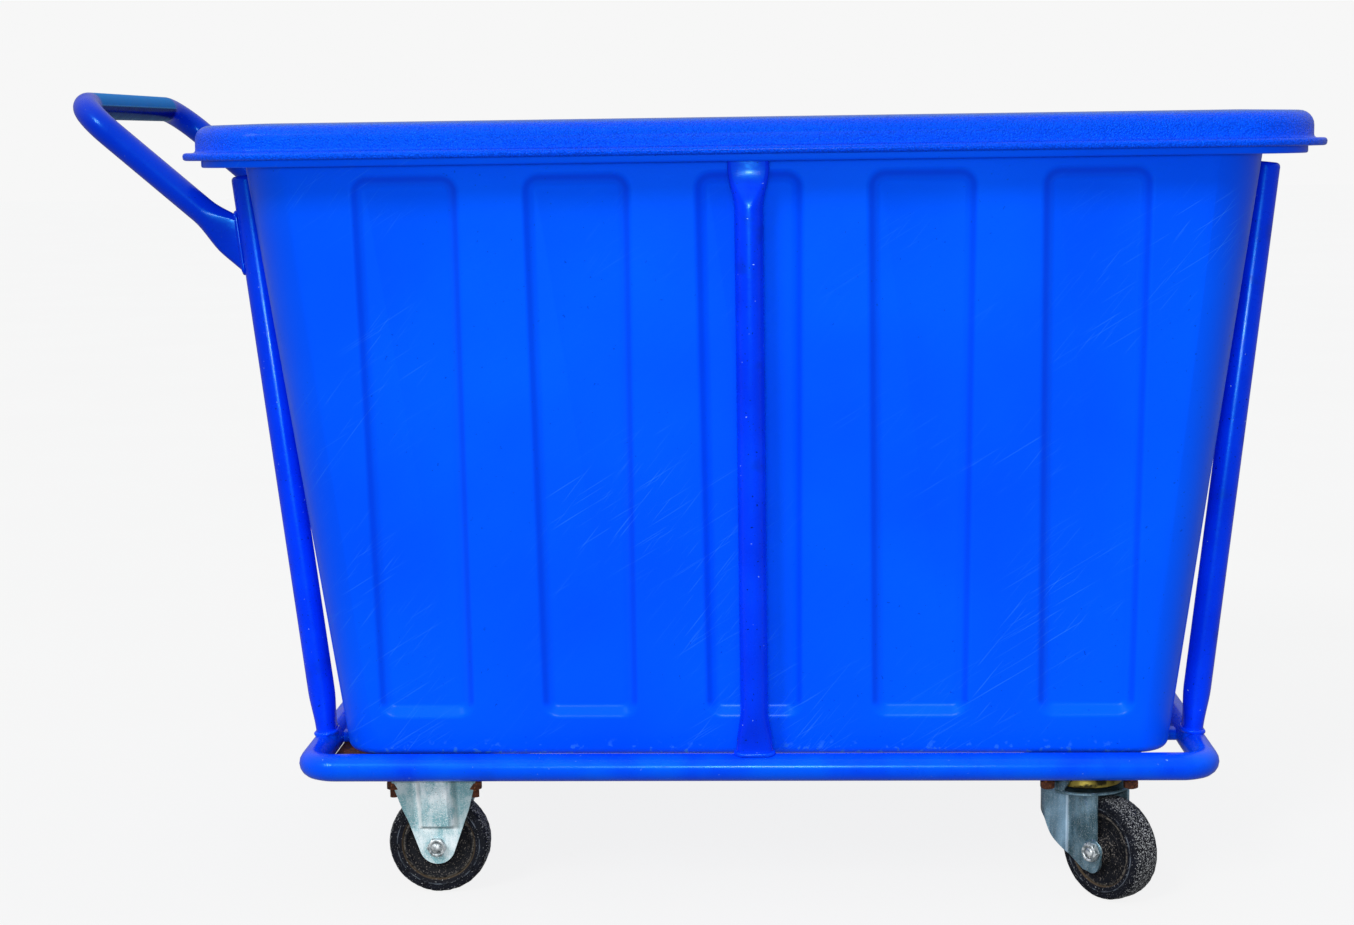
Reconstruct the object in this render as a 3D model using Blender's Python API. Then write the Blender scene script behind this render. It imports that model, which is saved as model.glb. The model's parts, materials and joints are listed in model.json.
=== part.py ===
"""A laundry trolley: a moulded tub with a lid, in a welded tube frame on two fixed and two swivel casters.

Metres, +Z up. The frame is modelled about the middle of its base loop, and the root empty moves
everything along X so that the origin lies on the floor below the middle of the overall box.
+X is the nose end, with the swivel casters, and -X the handle end.
"""

import math

import bmesh
import bpy
from mathutils import Matrix, Vector

# Clearances
GAP = 0.0003                 # left at each weld and between pieces that touch
ROUND = 2.0                  # exponent of a round section
BOXY = 4.0                   # exponent of a flattened section

# Frame tube
TUBE_R = 0.01345
TUBE_SIDES = 12
LOOP_PAST_TUB_END = 0.032    # middle of the loop tube past the tub's bottom edge
LOOP_PAST_TUB_SIDE = 0.038
LOOP_BEND_R = 0.026
BEND_STEPS = 4

# Casters, shared sizes
WHEEL_R = 0.051
CASTER_FROM_SIDE = 0.061     # inside the middle line of the loop
RIGID_FROM_END = 0.119
SWIVEL_FROM_END = 0.111
PLATE_LENGTH = 0.105
PLATE_WIDTH = 0.080
PLATE_THICKNESS = 0.0035
PLATE_CORNER_R = 0.008
SHEET = 0.003                # pressed steel of bracket and fork

# Plate bolts
BOLT_SPACING_X = 0.081
BOLT_SPACING_Y = 0.060
BOLT_R = 0.004
BOLT_HOLE_R = 0.0045
BOLT_ACROSS_FLATS = 0.013
BOLT_HEAD_HEIGHT = 0.0053
PLATE_NUTS_HEIGHT = 0.014    # a nut and its lock nut
RIGID_BOLT_TIP = 0.0085      # thread that shows below the nuts
SWIVEL_BOLT_TIP = 0.001
HOLE_SIDES = 8

# Mounting pads and rails
PAD_THICKNESS = 0.005
PAD_CORNER_R = 0.004
PAD_UNDER_RAIL = 0.0118      # how far a pad reaches past the middle of its rail
PAD_HALF_LENGTH = 0.0575
TUBE_OVER_PAD = 0.0064       # middle of the loop tube above the top of the pad
RAIL_FROM_CASTER = 0.069     # middle of a rail inside the middle of the casters
RAIL_WIDTH = 0.0235
RAIL_HEIGHT = 0.0116

# Tub
TUB_HEIGHT = 0.6134
TUB_BOTTOM_HALF_LENGTH = 0.405
TUB_BOTTOM_HALF_WIDTH = 0.240
TUB_SLOPE = 0.1273           # outward run of each wall for its rise
TUB_WALL = 0.005
TUB_BOTTOM_EDGE_R = 0.020
TUB_CORNER_R_BOTTOM = 0.045
TUB_CORNER_R_TOP = 0.055
TUB_EDGE_FROM = math.radians(5)
TUB_EDGE_TO = math.radians(80)
TUB_EDGE_STEPS = 3
RIM_OVERHANG_END = 0.03455   # rim past the top of the wall
RIM_OVERHANG_SIDE = 0.02755
RIM_CORNER_R = 0.070
RIM_DROP = 0.0352            # height of the turned-down lip
RIM_EDGE_R = 0.009
CORNER_STEPS = 4

# Recessed panels of the tub's walls
PANEL_ABOVE_BOTTOM = 0.040
PANEL_BELOW_RIM = 0.0454
PANEL_WIDTH_LOW = 0.0925
PANEL_WIDTH_HIGH = 0.0995
PANEL_DEPTH = 0.007
PANEL_CHAMFER = 0.0105       # width of the slanted edge round a panel
PANEL_CORNER_R = 0.014
PANEL_CORNER_TIGHTER = 0.5   # a panel's floor has corners smaller by this share of the chamfer
SIDE_PANELS = 5
SIDE_PANEL_MARGIN = 0.03775  # between the outermost panel and the tub's bottom edge
END_PANELS = 3
END_PANEL_MARGIN = 0.04375
CUTTER_SKIN = 0.001          # how far a cutter reaches past the face that it cuts

# Lid
LID_WALL = 0.0038
LID_SIDE_CLEARANCE = 0.0012
LID_HEM_OUT = 0.012
LID_HEM_HEIGHT = 0.0072
LID_HEM_BOTTOM = 0.0288      # below the inside of the lid's roof
LID_CROWN = 0.0018
LID_CROWN_INSET = 0.060

# Posts
SIDE_POST_OFF_WALL = 0.0091  # middle of a post's head from the wall
SIDE_POST_UNDER_FLANGE = 0.0042
SIDE_POST_FOOT_WIDTH = 0.035
SIDE_POST_FOOT_THICKNESS = 0.0127
SIDE_POST_HEAD_WIDTH = 0.0385
SIDE_POST_HEAD_THICKNESS = 0.009
SIDE_POST_HEAD_LENGTH = 0.043
SIDE_POST_TAPER = 0.030
END_POST_FROM_SIDE = 0.091   # inside the middle line of the loop
END_POST_FOOT_IN = 0.002     # a foot stands this far inside the top of the loop
END_POST_OFF_WALL = 0.02054
END_POST_UNDER_LIP = 0.009
END_POST_FOOT_WIDTH = 0.031
END_POST_FOOT_THICKNESS = 0.0195
FOOT_FLAT = 0.010            # height of the flattened part of a foot
FOOT_TAPER = 0.032
POST_END_ROUND = 0.004
POST_END_STEPS = 2

# Push handle
GRIP_PAST_POST = 0.1645      # grip past the top of the post
GRIP_ABOVE_RIM = 0.0268
GRIP_BEND_R = 0.042
ELBOW_PAST_POST = 0.128
ELBOW_BELOW_RIM = 0.0127
ARM_ELBOW_R = 0.110
JOINT_BELOW_RIM = 0.1112     # where an arm meets its post
ARM_STEPS = 5
ARM_END_WIDTH = 0.039
ARM_END_THICKNESS = 0.011
ARM_END_FLAT = 0.024
ARM_END_TAPER = 0.045

# Wheel
WHEEL_SEGMENTS = 22
TYRE_WIDTH = 0.033
TREAD_WIDTH = 0.020
TYRE_THICKNESS = 0.015
TYRE_STEP = 0.0025           # height of the tyre's inner ledge
TYRE_STEP_DEPTH = 0.0015
TYRE_SHOULDER = 0.004
CORE_RIM_WIDTH = 0.029
CORE_RIM_WALL = 0.0032
CORE_DRAFT = 0.0015          # the core's recess narrows by this towards its web
CORE_WEB = 0.010
HUB_R = 0.0135
HUB_LENGTH = 0.036
SLEEVE_R = 0.0072
AXLE_R = 0.005
AXLE_HOLE_R = 0.0055
AXLE_ACROSS_FLATS = 0.017
AXLE_NUT_HEIGHT = 0.0095
AXLE_HEAD_HEIGHT = 0.0065
AXLE_TIP = 0.003
AXLE_CHAMFER = 0.001

# Fixed bracket
RIGID_SIDE_GAP = 0.0022      # between hub and leg
RIGID_LEG_END_R = 0.018
RIGID_LEG_TOP_HALF = 0.0435
RIGID_LEG_MID_HALF = 0.033
RIGID_LEG_MID_RISE = 0.039   # above the axle
RIGID_LEG_STEPS = 8
CHANNEL_HALF = 0.0165
CHANNEL_PROUD = 0.005
CHANNEL_RISE = 0.018         # the channel's lower end above the axle
CHANNEL_EDGE_R = 0.004

# Swivel fork
SWIVEL_TRAIL = 0.033
SWIVEL_ANGLE_FRONT = math.radians(-50)
SWIVEL_ANGLE_REAR = math.radians(20)
FORK_SIDE_GAP = 0.003        # between hub and leg
CROWN_OVER_WHEEL = 0.005     # room between the wheel and the crown
CROWN_R = 0.0435
CROWN_EDGE = 0.001
CROWN_SIDES = 28
HOOD_DEPTH = 0.033           # the hood's lower edge below the top of the crown
HOOD_SHARE = 0.40            # how far the hood has swelled where it leaves a leg
HOOD_START = math.radians(117)
HOOD_STEPS = 6
FORK_LEG_START = 0.002       # a leg is flat from here back
FORK_SWELL_START = 0.010     # and the hood is round from here forward
HOOD_CUT_AHEAD = 0.024       # the front edge of a leg meets the hood's edge here
HOOD_CUT_RISE = 0.002
FORK_BACK = 0.0035           # trailing edge of a leg behind the axle
FORK_EYE_AHEAD = 0.002       # middle of a leg's round end, ahead of the axle and below it
FORK_EYE_BELOW = 0.008
FORK_EYE_HALF_LENGTH = 0.0112
FORK_EYE_HALF_HEIGHT = 0.0142
FORK_EYE_FROM = math.radians(45)
FORK_EYE_TO = math.radians(-110)
FORK_EYE_STEPS = 6
FORK_TOE_BELOW = 0.010       # front corner of a leg below the axle
FORK_KNEE_AHEAD = 0.009      # its front edge bends ahead of the kingpin, above the axle
FORK_KNEE_RISE = 0.009
FORK_REACH = 0.060           # half size of the block that the fork is cut from
FORK_FOOT_Z = 0.020
HEAD_HEIGHT = 0.0203         # mounting face above the top of the crown
RACE_CUP_R = 0.036
RACE_CUP_LIP = 0.003
UPPER_BALL_R = 0.003
UPPER_BALL_CIRCLE_R = 0.024
LOWER_BALL_R = 0.002
LOWER_BALL_CIRCLE_R = 0.0095
BALL_RING_SIDES = 14
CUP_SIDES = 20
RACE_SIDES = 16
LOWER_RACE_R = 0.0125
LOWER_RACE_THICKNESS = 0.002
KINGPIN_R = 0.0055
KINGPIN_HEAD_R = 0.009
KINGPIN_RIVET_R = 0.008
KINGPIN_RIVET_HEIGHT = 0.0015

# Sizes that follow from the pieces beside or below
LOOP_HALF_LENGTH = TUB_BOTTOM_HALF_LENGTH + LOOP_PAST_TUB_END
LOOP_HALF_WIDTH = TUB_BOTTOM_HALF_WIDTH + LOOP_PAST_TUB_SIDE
CASTER_Y = LOOP_HALF_WIDTH - CASTER_FROM_SIDE
RIGID_X = RIGID_FROM_END - LOOP_HALF_LENGTH
SWIVEL_X = LOOP_HALF_LENGTH - SWIVEL_FROM_END
RAIL_Y = CASTER_Y - RAIL_FROM_CASTER
END_POST_Y = LOOP_HALF_WIDTH - END_POST_FROM_SIDE
CROWN_TOP_Z = 2 * WHEEL_R + CROWN_OVER_WHEEL + SHEET
CASTER_HEIGHT = CROWN_TOP_Z + HEAD_HEIGHT
TYRE_BORE_R = WHEEL_R - TYRE_THICKNESS
RIGID_OUTER = HUB_LENGTH / 2 + RIGID_SIDE_GAP + SHEET
FORK_OUTER = HUB_LENGTH / 2 + FORK_SIDE_GAP + SHEET
PLATE_BOTTOM = CASTER_HEIGHT - PLATE_THICKNESS
PAD_BOTTOM = CASTER_HEIGHT + GAP
PAD_TOP = PAD_BOTTOM + PAD_THICKNESS
RAIL_BOTTOM = PAD_TOP + GAP
RAIL_TOP = RAIL_BOTTOM + RAIL_HEIGHT
LOOP_Z = PAD_TOP + TUBE_OVER_PAD
LOOP_TOP = LOOP_Z + TUBE_R
TUB_BOTTOM = RAIL_TOP + GAP
RIM_TOP = TUB_BOTTOM + TUB_HEIGHT
UNDER_FLANGE = RIM_TOP - TUB_WALL
RIM_HALF_LENGTH = (
    TUB_BOTTOM_HALF_LENGTH + TUB_SLOPE * (UNDER_FLANGE - TUB_BOTTOM) + RIM_OVERHANG_END
)
RIM_HALF_WIDTH = (
    TUB_BOTTOM_HALF_WIDTH + TUB_SLOPE * (UNDER_FLANGE - TUB_BOTTOM) + RIM_OVERHANG_SIDE
)
SIDE_POST_TOP_Z = UNDER_FLANGE - SIDE_POST_UNDER_FLANGE
END_POST_TOP_Z = RIM_TOP - RIM_DROP - END_POST_UNDER_LIP
END_POST_TOP_X = (
    TUB_BOTTOM_HALF_LENGTH + TUB_SLOPE * (END_POST_TOP_Z - TUB_BOTTOM) + END_POST_OFF_WALL
)
GRIP_X = -END_POST_TOP_X - GRIP_PAST_POST
LID_INSIDE = RIM_TOP + GAP
LID_HEM_HALF_LENGTH = RIM_HALF_LENGTH + LID_SIDE_CLEARANCE + LID_WALL + LID_HEM_OUT
CENTRE_SHIFT = (TUBE_R - GRIP_X - LID_HEM_HALF_LENGTH) / 2

X_AXIS = Vector((1, 0, 0))
Y_AXIS = Vector((0, 1, 0))
Z_AXIS = Vector((0, 0, 1))


def linear(red, green, blue):
    """An sRGB colour in 0 to 255 as the linear values that a shader takes."""
    values = []
    for channel in (red, green, blue):
        value = channel / 255
        values.append(value / 12.92 if value <= 0.04045 else ((value + 0.055) / 1.055) ** 2.4)
    return (*values, 1.0)


FRAME_PAINT = (linear(3, 62, 216), 0.28, 0.0)
TUB_PLASTIC = (linear(2, 84, 245), 0.48, 0.0)
LID_PLASTIC = (linear(30, 105, 205), 0.55, 0.0)
ZINC = (linear(168, 202, 214), 0.38, 0.9)
FORK_ZINC = (linear(110, 134, 150), 0.36, 0.9)
YELLOW_ZINC = (linear(150, 130, 60), 0.4, 0.85)
RUSTY_STEEL = (linear(104, 66, 42), 0.8, 0.35)
BRIGHT_STEEL = (linear(176, 180, 182), 0.3, 1.0)
RUBBER = (linear(60, 61, 63), 0.85, 0.0)
CORE_PLASTIC = (linear(44, 44, 48), 0.6, 0.0)


def clear_scene():
    for scene_object in list(bpy.data.objects):
        bpy.data.objects.remove(scene_object)


def add_empty(name, parent=None, location=(0, 0, 0), turn=0.0):
    empty = bpy.data.objects.new(name, None)
    empty.parent = parent
    empty.location = location
    empty.rotation_euler = (0, 0, turn)
    bpy.context.scene.collection.objects.link(empty)
    return empty


def finish_mesh(bm, name):
    """A new object of the mesh in bm, its faces turned outwards."""
    bmesh.ops.recalc_face_normals(bm, faces=bm.faces)
    mesh = bpy.data.meshes.new(name)
    bm.to_mesh(mesh)
    bm.free()
    made = bpy.data.objects.new(name, mesh)
    bpy.context.scene.collection.objects.link(made)
    return made


def place(made, name, parent, finish):
    """Names the object, hangs it on its parent and gives it its own material."""
    colour, roughness, metallic = finish
    made.name = name
    made.data.name = name
    made.parent = parent
    material = bpy.data.materials.new(name)
    material.use_nodes = True
    shader = material.node_tree.nodes["Principled BSDF"]
    shader.inputs["Base Color"].default_value = colour
    shader.inputs["Roughness"].default_value = roughness
    shader.inputs["Metallic"].default_value = metallic
    made.data.materials.clear()
    made.data.materials.append(material)
    made.data.shade_smooth()
    made.data.set_sharp_from_angle(angle=math.radians(35))
    return made


def combine(target, tool, operation):
    """Joins or cuts the target with the tool, and takes the tool away."""
    modifier = target.modifiers.new("combine", "BOOLEAN")
    modifier.operation = operation
    modifier.object = tool
    bpy.context.view_layer.update()
    graph = bpy.context.evaluated_depsgraph_get()
    old_mesh = target.data
    target.data = bpy.data.meshes.new_from_object(target.evaluated_get(graph))
    target.modifiers.clear()
    bpy.data.meshes.remove(old_mesh)
    bpy.data.objects.remove(tool)


def loft(name, rings, closed=False):
    """Rings of as many points each, joined in turn. An open loft has a face at either end."""
    bm = bmesh.new()
    rows = [[bm.verts.new(point) for point in ring] for ring in rings]
    count = len(rows[0])
    pairs = list(zip(rows, rows[1:]))
    if closed:
        pairs.append((rows[-1], rows[0]))
    else:
        bm.faces.new(rows[0])
        bm.faces.new(rows[-1])
    for low, high in pairs:
        for i in range(count):
            j = (i + 1) % count
            bm.faces.new((low[i], low[j], high[j], high[i]))
    return finish_mesh(bm, name)


def extrude(name, outline, direction):
    """A flat outline, drawn out along a direction."""
    bm = bmesh.new()
    face = bm.faces.new([bm.verts.new(point) for point in outline])
    drawn = bmesh.ops.extrude_face_region(bm, geom=[face])["geom"]
    moved = [item for item in drawn if isinstance(item, bmesh.types.BMVert)]
    bmesh.ops.translate(bm, verts=moved, vec=direction)
    return finish_mesh(bm, name)


def turned(name, profile, axis, segments, phase=0.5):
    """A closed profile of (radius, height) points spun once round an axis.

    Its radii are those of the flats, so a wheel stands on a flat that touches the floor.
    """
    across = X_AXIS if axis == Y_AXIS else Y_AXIS
    first = Matrix.Rotation(2 * math.pi * phase / segments, 3, axis) @ across.cross(axis)
    grow = 1 / math.cos(math.pi / segments)
    bm = bmesh.new()
    verts = [bm.verts.new(first * (r * grow) + axis * h) for r, h in profile]
    edges = [bm.edges.new((verts[i - 1], verts[i])) for i in range(len(verts))]
    bmesh.ops.spin(
        bm, geom=verts + edges, cent=(0, 0, 0), axis=axis, angle=2 * math.pi, steps=segments,
        use_merge=True, use_duplicate=False,
    )
    bmesh.ops.remove_doubles(bm, verts=bm.verts, dist=1e-6)
    return finish_mesh(bm, name)


def regular_ring(radius, level, sides=TUBE_SIDES, hexagon=False, centre=(0, 0)):
    """A ring round the Z axis. A hexagon has the same count of points, with some on its flats."""
    points = []
    for i in range(sides):
        angle = 2 * math.pi * i / sides
        reach = radius
        if hexagon:
            reach = radius / math.cos(angle % (math.pi / 3) - math.pi / 6)
        points.append(Vector((
            centre[0] + reach * math.cos(angle), centre[1] + reach * math.sin(angle), level,
        )))
    return points


def along_y(points):
    """Turns points made round the Z axis so that they lie round the Y axis."""
    return [Vector((p.x, -p.z, p.y)) for p in points]


def fillet(points, radii, closed=True, steps=4):
    """A path or outline whose corners are rounded with the radii given."""
    count = len(points)
    made = []
    for i, (point, radius) in enumerate(zip(points, radii)):
        inside = closed or 0 < i < count - 1
        if not inside or radius == 0:
            made.append(point.copy())
            continue
        before = (points[i - 1] - point).normalized()
        after = (points[(i + 1) % count] - point).normalized()
        half = before.angle(after) / 2
        centre = point + (before + after).normalized() * (radius / math.sin(half))
        start = point + before * (radius / math.tan(half)) - centre
        end = point + after * (radius / math.tan(half)) - centre
        sweep_angle = math.pi - 2 * half
        for step in range(steps + 1):
            t = step / steps
            blend = start * math.sin((1 - t) * sweep_angle) + end * math.sin(t * sweep_angle)
            made.append(centre + blend / math.sin(sweep_angle))
    return made


def rectangle(half_x, half_y, corner_r, level, steps=CORNER_STEPS):
    corners = [
        Vector((half_x, half_y, level)),
        Vector((-half_x, half_y, level)),
        Vector((-half_x, -half_y, level)),
        Vector((half_x, -half_y, level)),
    ]
    return fillet(corners, [corner_r] * 4, steps=steps)


def section(centre, side, other, half_side, half_other, exponent, sides=TUBE_SIDES):
    """A round or flattened cross-section of tube."""
    points = []
    for i in range(sides):
        angle = 2 * math.pi * i / sides
        c = math.cos(angle)
        s = math.sin(angle)
        u = half_side * math.copysign(abs(c) ** (2 / exponent), c)
        v = half_other * math.copysign(abs(s) ** (2 / exponent), s)
        points.append(centre + side * u + other * v)
    return points


def sweep(name, stations, side, closed=False):
    """A tube along stations of (point, half size along side, half size across it, exponent)."""
    points = [station[0] for station in stations]
    count = len(points)
    rings = []
    for i, (point, half_side, half_other, exponent) in enumerate(stations):
        before = points[i - 1] if closed or i else point
        after = points[(i + 1) % count] if closed or i < count - 1 else point
        tangent = Vector()
        if after != point:
            tangent += (after - point).normalized()
        if before != point:
            tangent += (point - before).normalized()
        tangent.normalize()
        side = (side - tangent * side.dot(tangent)).normalized()
        rings.append(
            section(point, side, tangent.cross(side), half_side, half_other, exponent)
        )
    return loft(name, rings, closed)


def rod(name, start, end, radius, sides=TUBE_SIDES):
    """A straight round cutter from one point to another."""
    direction = (end - start).normalized()
    side = direction.orthogonal().normalized()
    other = direction.cross(side)
    reach = radius / math.cos(math.pi / sides)
    rings = [section(p, side, other, reach, reach, ROUND, sides) for p in (start, end)]
    return loft(name, rings)


def between(start, end, share):
    return start + (end - start) * share


def build_base_loop(root):
    path = rectangle(LOOP_HALF_LENGTH, LOOP_HALF_WIDTH, LOOP_BEND_R, LOOP_Z, BEND_STEPS)
    stations = [(point, TUBE_R, TUBE_R, ROUND) for point in path]
    place(sweep("base_loop", stations, Z_AXIS, closed=True), "base_loop", root, FRAME_PAINT)


def loop_tube_cutter(along_x, place_at):
    """The space that a straight run of the base loop takes, with the weld gap round it."""
    reach = LOOP_HALF_LENGTH if along_x else LOOP_HALF_WIDTH
    axis = X_AXIS if along_x else Y_AXIS
    across = Y_AXIS if along_x else X_AXIS
    middle = across * place_at + Z_AXIS * LOOP_Z
    return rod("loop_cutter", middle - axis * reach, middle + axis * reach, TUBE_R + GAP)


def build_rail(root, name, side_sign):
    ends = [Vector((x, side_sign * RAIL_Y, (RAIL_BOTTOM + RAIL_TOP) / 2))
            for x in (-LOOP_HALF_LENGTH, LOOP_HALF_LENGTH)]
    stations = [(point, RAIL_WIDTH / 2, RAIL_HEIGHT / 2, BOXY) for point in ends]
    rail = sweep(name, stations, Y_AXIS)
    for x in (-LOOP_HALF_LENGTH, LOOP_HALF_LENGTH):
        combine(rail, loop_tube_cutter(False, x), "DIFFERENCE")
    place(rail, name, root, FRAME_PAINT)


def post_stations(foot, head, foot_width, foot_thickness):
    """The lower end of a post: flattened where it is welded, then round."""
    length = (head - foot).length
    flat = between(foot, head, FOOT_FLAT / length)
    round_from = between(foot, head, (FOOT_FLAT + FOOT_TAPER) / length)
    return [
        (foot, foot_width / 2, foot_thickness / 2, BOXY),
        (flat, foot_width / 2, foot_thickness / 2, BOXY),
        (between(flat, round_from, 0.5), (foot_width / 2 + TUBE_R) / 2,
         (foot_thickness / 2 + TUBE_R) / 2, (ROUND + BOXY) / 2),
        (round_from, TUBE_R, TUBE_R, ROUND),
    ]


def build_side_post(root, name, side_sign):
    """A centre post: it leans outwards and its flattened head ends inside the tub's rim."""
    foot = Vector((0, side_sign * LOOP_HALF_WIDTH, LOOP_TOP - 2 * GAP - FOOT_FLAT / 2))
    head_y = wall_half(SIDE_POST_TOP_Z)[1] + SIDE_POST_OFF_WALL
    head = Vector((0, side_sign * head_y, SIDE_POST_TOP_Z))
    length = (head - foot).length
    flat_from = between(head, foot, SIDE_POST_HEAD_LENGTH / length)
    round_to = between(head, foot, (SIDE_POST_HEAD_LENGTH + SIDE_POST_TAPER) / length)
    half_width = SIDE_POST_HEAD_WIDTH / 2
    half_thick = SIDE_POST_HEAD_THICKNESS / 2
    stations = post_stations(foot, head, SIDE_POST_FOOT_WIDTH, SIDE_POST_FOOT_THICKNESS)
    stations += [
        (round_to, TUBE_R, TUBE_R, ROUND),
        (between(round_to, flat_from, 0.5), (half_width + TUBE_R) / 2,
         (half_thick + TUBE_R) / 2, (ROUND + BOXY) / 2),
        (flat_from, half_width, half_thick, BOXY),
        (head, half_width, half_thick, BOXY),
    ]
    post = sweep(name, stations, X_AXIS)
    combine(post, loop_tube_cutter(True, side_sign * LOOP_HALF_WIDTH), "DIFFERENCE")
    place(post, name, root, FRAME_PAINT)


def end_post_line(end_sign, side_sign):
    """The middle line of an end post, from the top of the base loop to its free end."""
    foot_x = LOOP_HALF_LENGTH - END_POST_FOOT_IN
    foot = Vector((end_sign * foot_x, side_sign * END_POST_Y, LOOP_TOP))
    head = Vector((end_sign * END_POST_TOP_X, side_sign * END_POST_Y, END_POST_TOP_Z))
    return foot, head


def build_end_post(root, name, end_sign, side_sign):
    foot, head = end_post_line(end_sign, side_sign)
    down = (foot - head).normalized()
    foot = foot + down * FOOT_FLAT / 2
    stations = post_stations(foot, head, END_POST_FOOT_WIDTH, END_POST_FOOT_THICKNESS)
    for step in range(POST_END_STEPS + 1):
        angle = math.pi / 2 * step / POST_END_STEPS
        radius = TUBE_R - POST_END_ROUND * (1 - math.cos(angle))
        level = head + down * POST_END_ROUND * (1 - math.sin(angle))
        stations.append((level, radius, radius, ROUND))
    post = sweep(name, stations, Y_AXIS)
    combine(post, loop_tube_cutter(False, end_sign * LOOP_HALF_LENGTH), "DIFFERENCE")
    place(post, name, root, FRAME_PAINT)


def build_push_handle(root):
    """One bent tube: two arms whose flattened ends are welded to the handle posts, and a grip."""
    foot, head = end_post_line(-1, -1)
    on_post = between(foot, head, (RIM_TOP - JOINT_BELOW_RIM - foot.z) / (head.z - foot.z))
    elbow_x = -END_POST_TOP_X - ELBOW_PAST_POST
    elbow = Vector((elbow_x, on_post.y, RIM_TOP - ELBOW_BELOW_RIM))
    front_grip = Vector((GRIP_X, on_post.y, RIM_TOP + GRIP_ABOVE_RIM))
    length = (elbow - on_post).length
    flat = between(on_post, elbow, (TUBE_R + ARM_END_FLAT) / length)
    round_from = between(on_post, elbow, (TUBE_R + ARM_END_FLAT + ARM_END_TAPER) / length)
    corners = [elbow, front_grip]
    corners += [Vector((p.x, -p.y, p.z)) for p in reversed(corners)]
    middle = fillet([round_from, *corners, Vector((round_from.x, -round_from.y, round_from.z))],
                    [0, ARM_ELBOW_R, GRIP_BEND_R, GRIP_BEND_R, ARM_ELBOW_R, 0],
                    closed=False, steps=ARM_STEPS)
    half_width = ARM_END_WIDTH / 2
    half_thick = ARM_END_THICKNESS / 2
    front_end = [
        (on_post, half_width, half_thick, BOXY),
        (flat, half_width, half_thick, BOXY),
        (between(flat, round_from, 0.5), (half_width + TUBE_R) / 2, (half_thick + TUBE_R) / 2,
         (ROUND + BOXY) / 2),
    ]
    rear_end = [(Vector((p.x, -p.y, p.z)), a, b, e) for p, a, b, e in reversed(front_end)]
    stations = front_end + [(p, TUBE_R, TUBE_R, ROUND) for p in middle] + rear_end
    handle = sweep("push_handle", stations, Z_AXIS)
    for side_sign in (-1, 1):
        low, high = end_post_line(-1, side_sign)
        combine(handle, rod("post_cutter", low, high, TUBE_R + GAP), "DIFFERENCE")
    # The part of each flattened end that lies past its post is cut away.
    inner = Vector((on_post.x + TUBE_R, -LOOP_HALF_WIDTH, on_post.z))
    lean = (head - foot).normalized() * 2 * ARM_END_WIDTH
    past = X_AXIS * 2 * ARM_END_WIDTH
    outline = [inner - lean, inner - lean + past, inner + lean + past, inner + lean]
    block = extrude("past_post", outline, Y_AXIS * 2 * LOOP_HALF_WIDTH)
    combine(handle, block, "DIFFERENCE")
    place(handle, "push_handle", root, FRAME_PAINT)


def plate_bolt(x, y, tip):
    """A bolt with its head on the pad, and the nuts that clamp the caster's plate."""
    half_flats = BOLT_ACROSS_FLATS / 2
    nuts_top = PLATE_BOTTOM - GAP
    nuts_bottom = nuts_top - PLATE_NUTS_HEIGHT
    levels = [
        (PAD_TOP + BOLT_HEAD_HEIGHT, half_flats, True),
        (PAD_TOP - PAD_THICKNESS / 2, half_flats, True),
        (PAD_TOP - PAD_THICKNESS / 2, BOLT_R, False),
        (nuts_top, BOLT_R, False),
        (nuts_top, half_flats, True),
        (nuts_bottom, half_flats, True),
        (nuts_bottom, BOLT_R, False),
        (nuts_bottom - tip, BOLT_R, False),
    ]
    rings = [regular_ring(r, z, sides=6, hexagon=h, centre=(x, y)) for z, r, h in levels]
    return loft("plate_bolt", rings)


def bolt_places(x, y):
    return [(x + i * BOLT_SPACING_X / 2, y + j * BOLT_SPACING_Y / 2) for i in (-1, 1) for j in (-1, 1)]


def build_pad(root, name, centre_x, side_sign, meets_end_tube, bolt_tip):
    """A steel plate between the loop and its rail, with the four bolts of its caster."""
    above = LOOP_Z - PAD_TOP
    tube_reach = math.sqrt((TUBE_R + GAP) ** 2 - above ** 2)
    outer_y = LOOP_HALF_WIDTH - tube_reach
    inner_y = RAIL_Y - PAD_UNDER_RAIL
    low_x = centre_x - PAD_HALF_LENGTH
    high_x = centre_x + PAD_HALF_LENGTH
    corner_r = PAD_CORNER_R
    if meets_end_tube:
        low_x = -LOOP_HALF_LENGTH + tube_reach
        corner_r = LOOP_BEND_R - tube_reach
    corners = [
        Vector((low_x, side_sign * inner_y, PAD_BOTTOM)),
        Vector((low_x, side_sign * outer_y, PAD_BOTTOM)),
        Vector((high_x, side_sign * outer_y, PAD_BOTTOM)),
        Vector((high_x, side_sign * inner_y, PAD_BOTTOM)),
    ]
    outline = fillet(corners, [PAD_CORNER_R, corner_r, PAD_CORNER_R, PAD_CORNER_R], steps=3)
    pad = extrude(name, outline, Z_AXIS * PAD_THICKNESS)
    for x, y in bolt_places(centre_x, side_sign * CASTER_Y):
        combine(pad, plate_bolt(x, y, bolt_tip), "UNION")
    place(pad, name, root, RUSTY_STEEL)


def wall_half(level, inset=0.0):
    """Half length and half width of the tub's outer walls at a height."""
    out = TUB_SLOPE * (level - TUB_BOTTOM) - inset
    return TUB_BOTTOM_HALF_LENGTH + out, TUB_BOTTOM_HALF_WIDTH + out


def wall_ring(level, inset=0.0):
    half_x, half_y = wall_half(level, inset)
    share = (level - TUB_BOTTOM) / TUB_HEIGHT
    corner_r = TUB_CORNER_R_BOTTOM + share * (TUB_CORNER_R_TOP - TUB_CORNER_R_BOTTOM) - inset
    return rectangle(half_x, half_y, corner_r, level)


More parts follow.
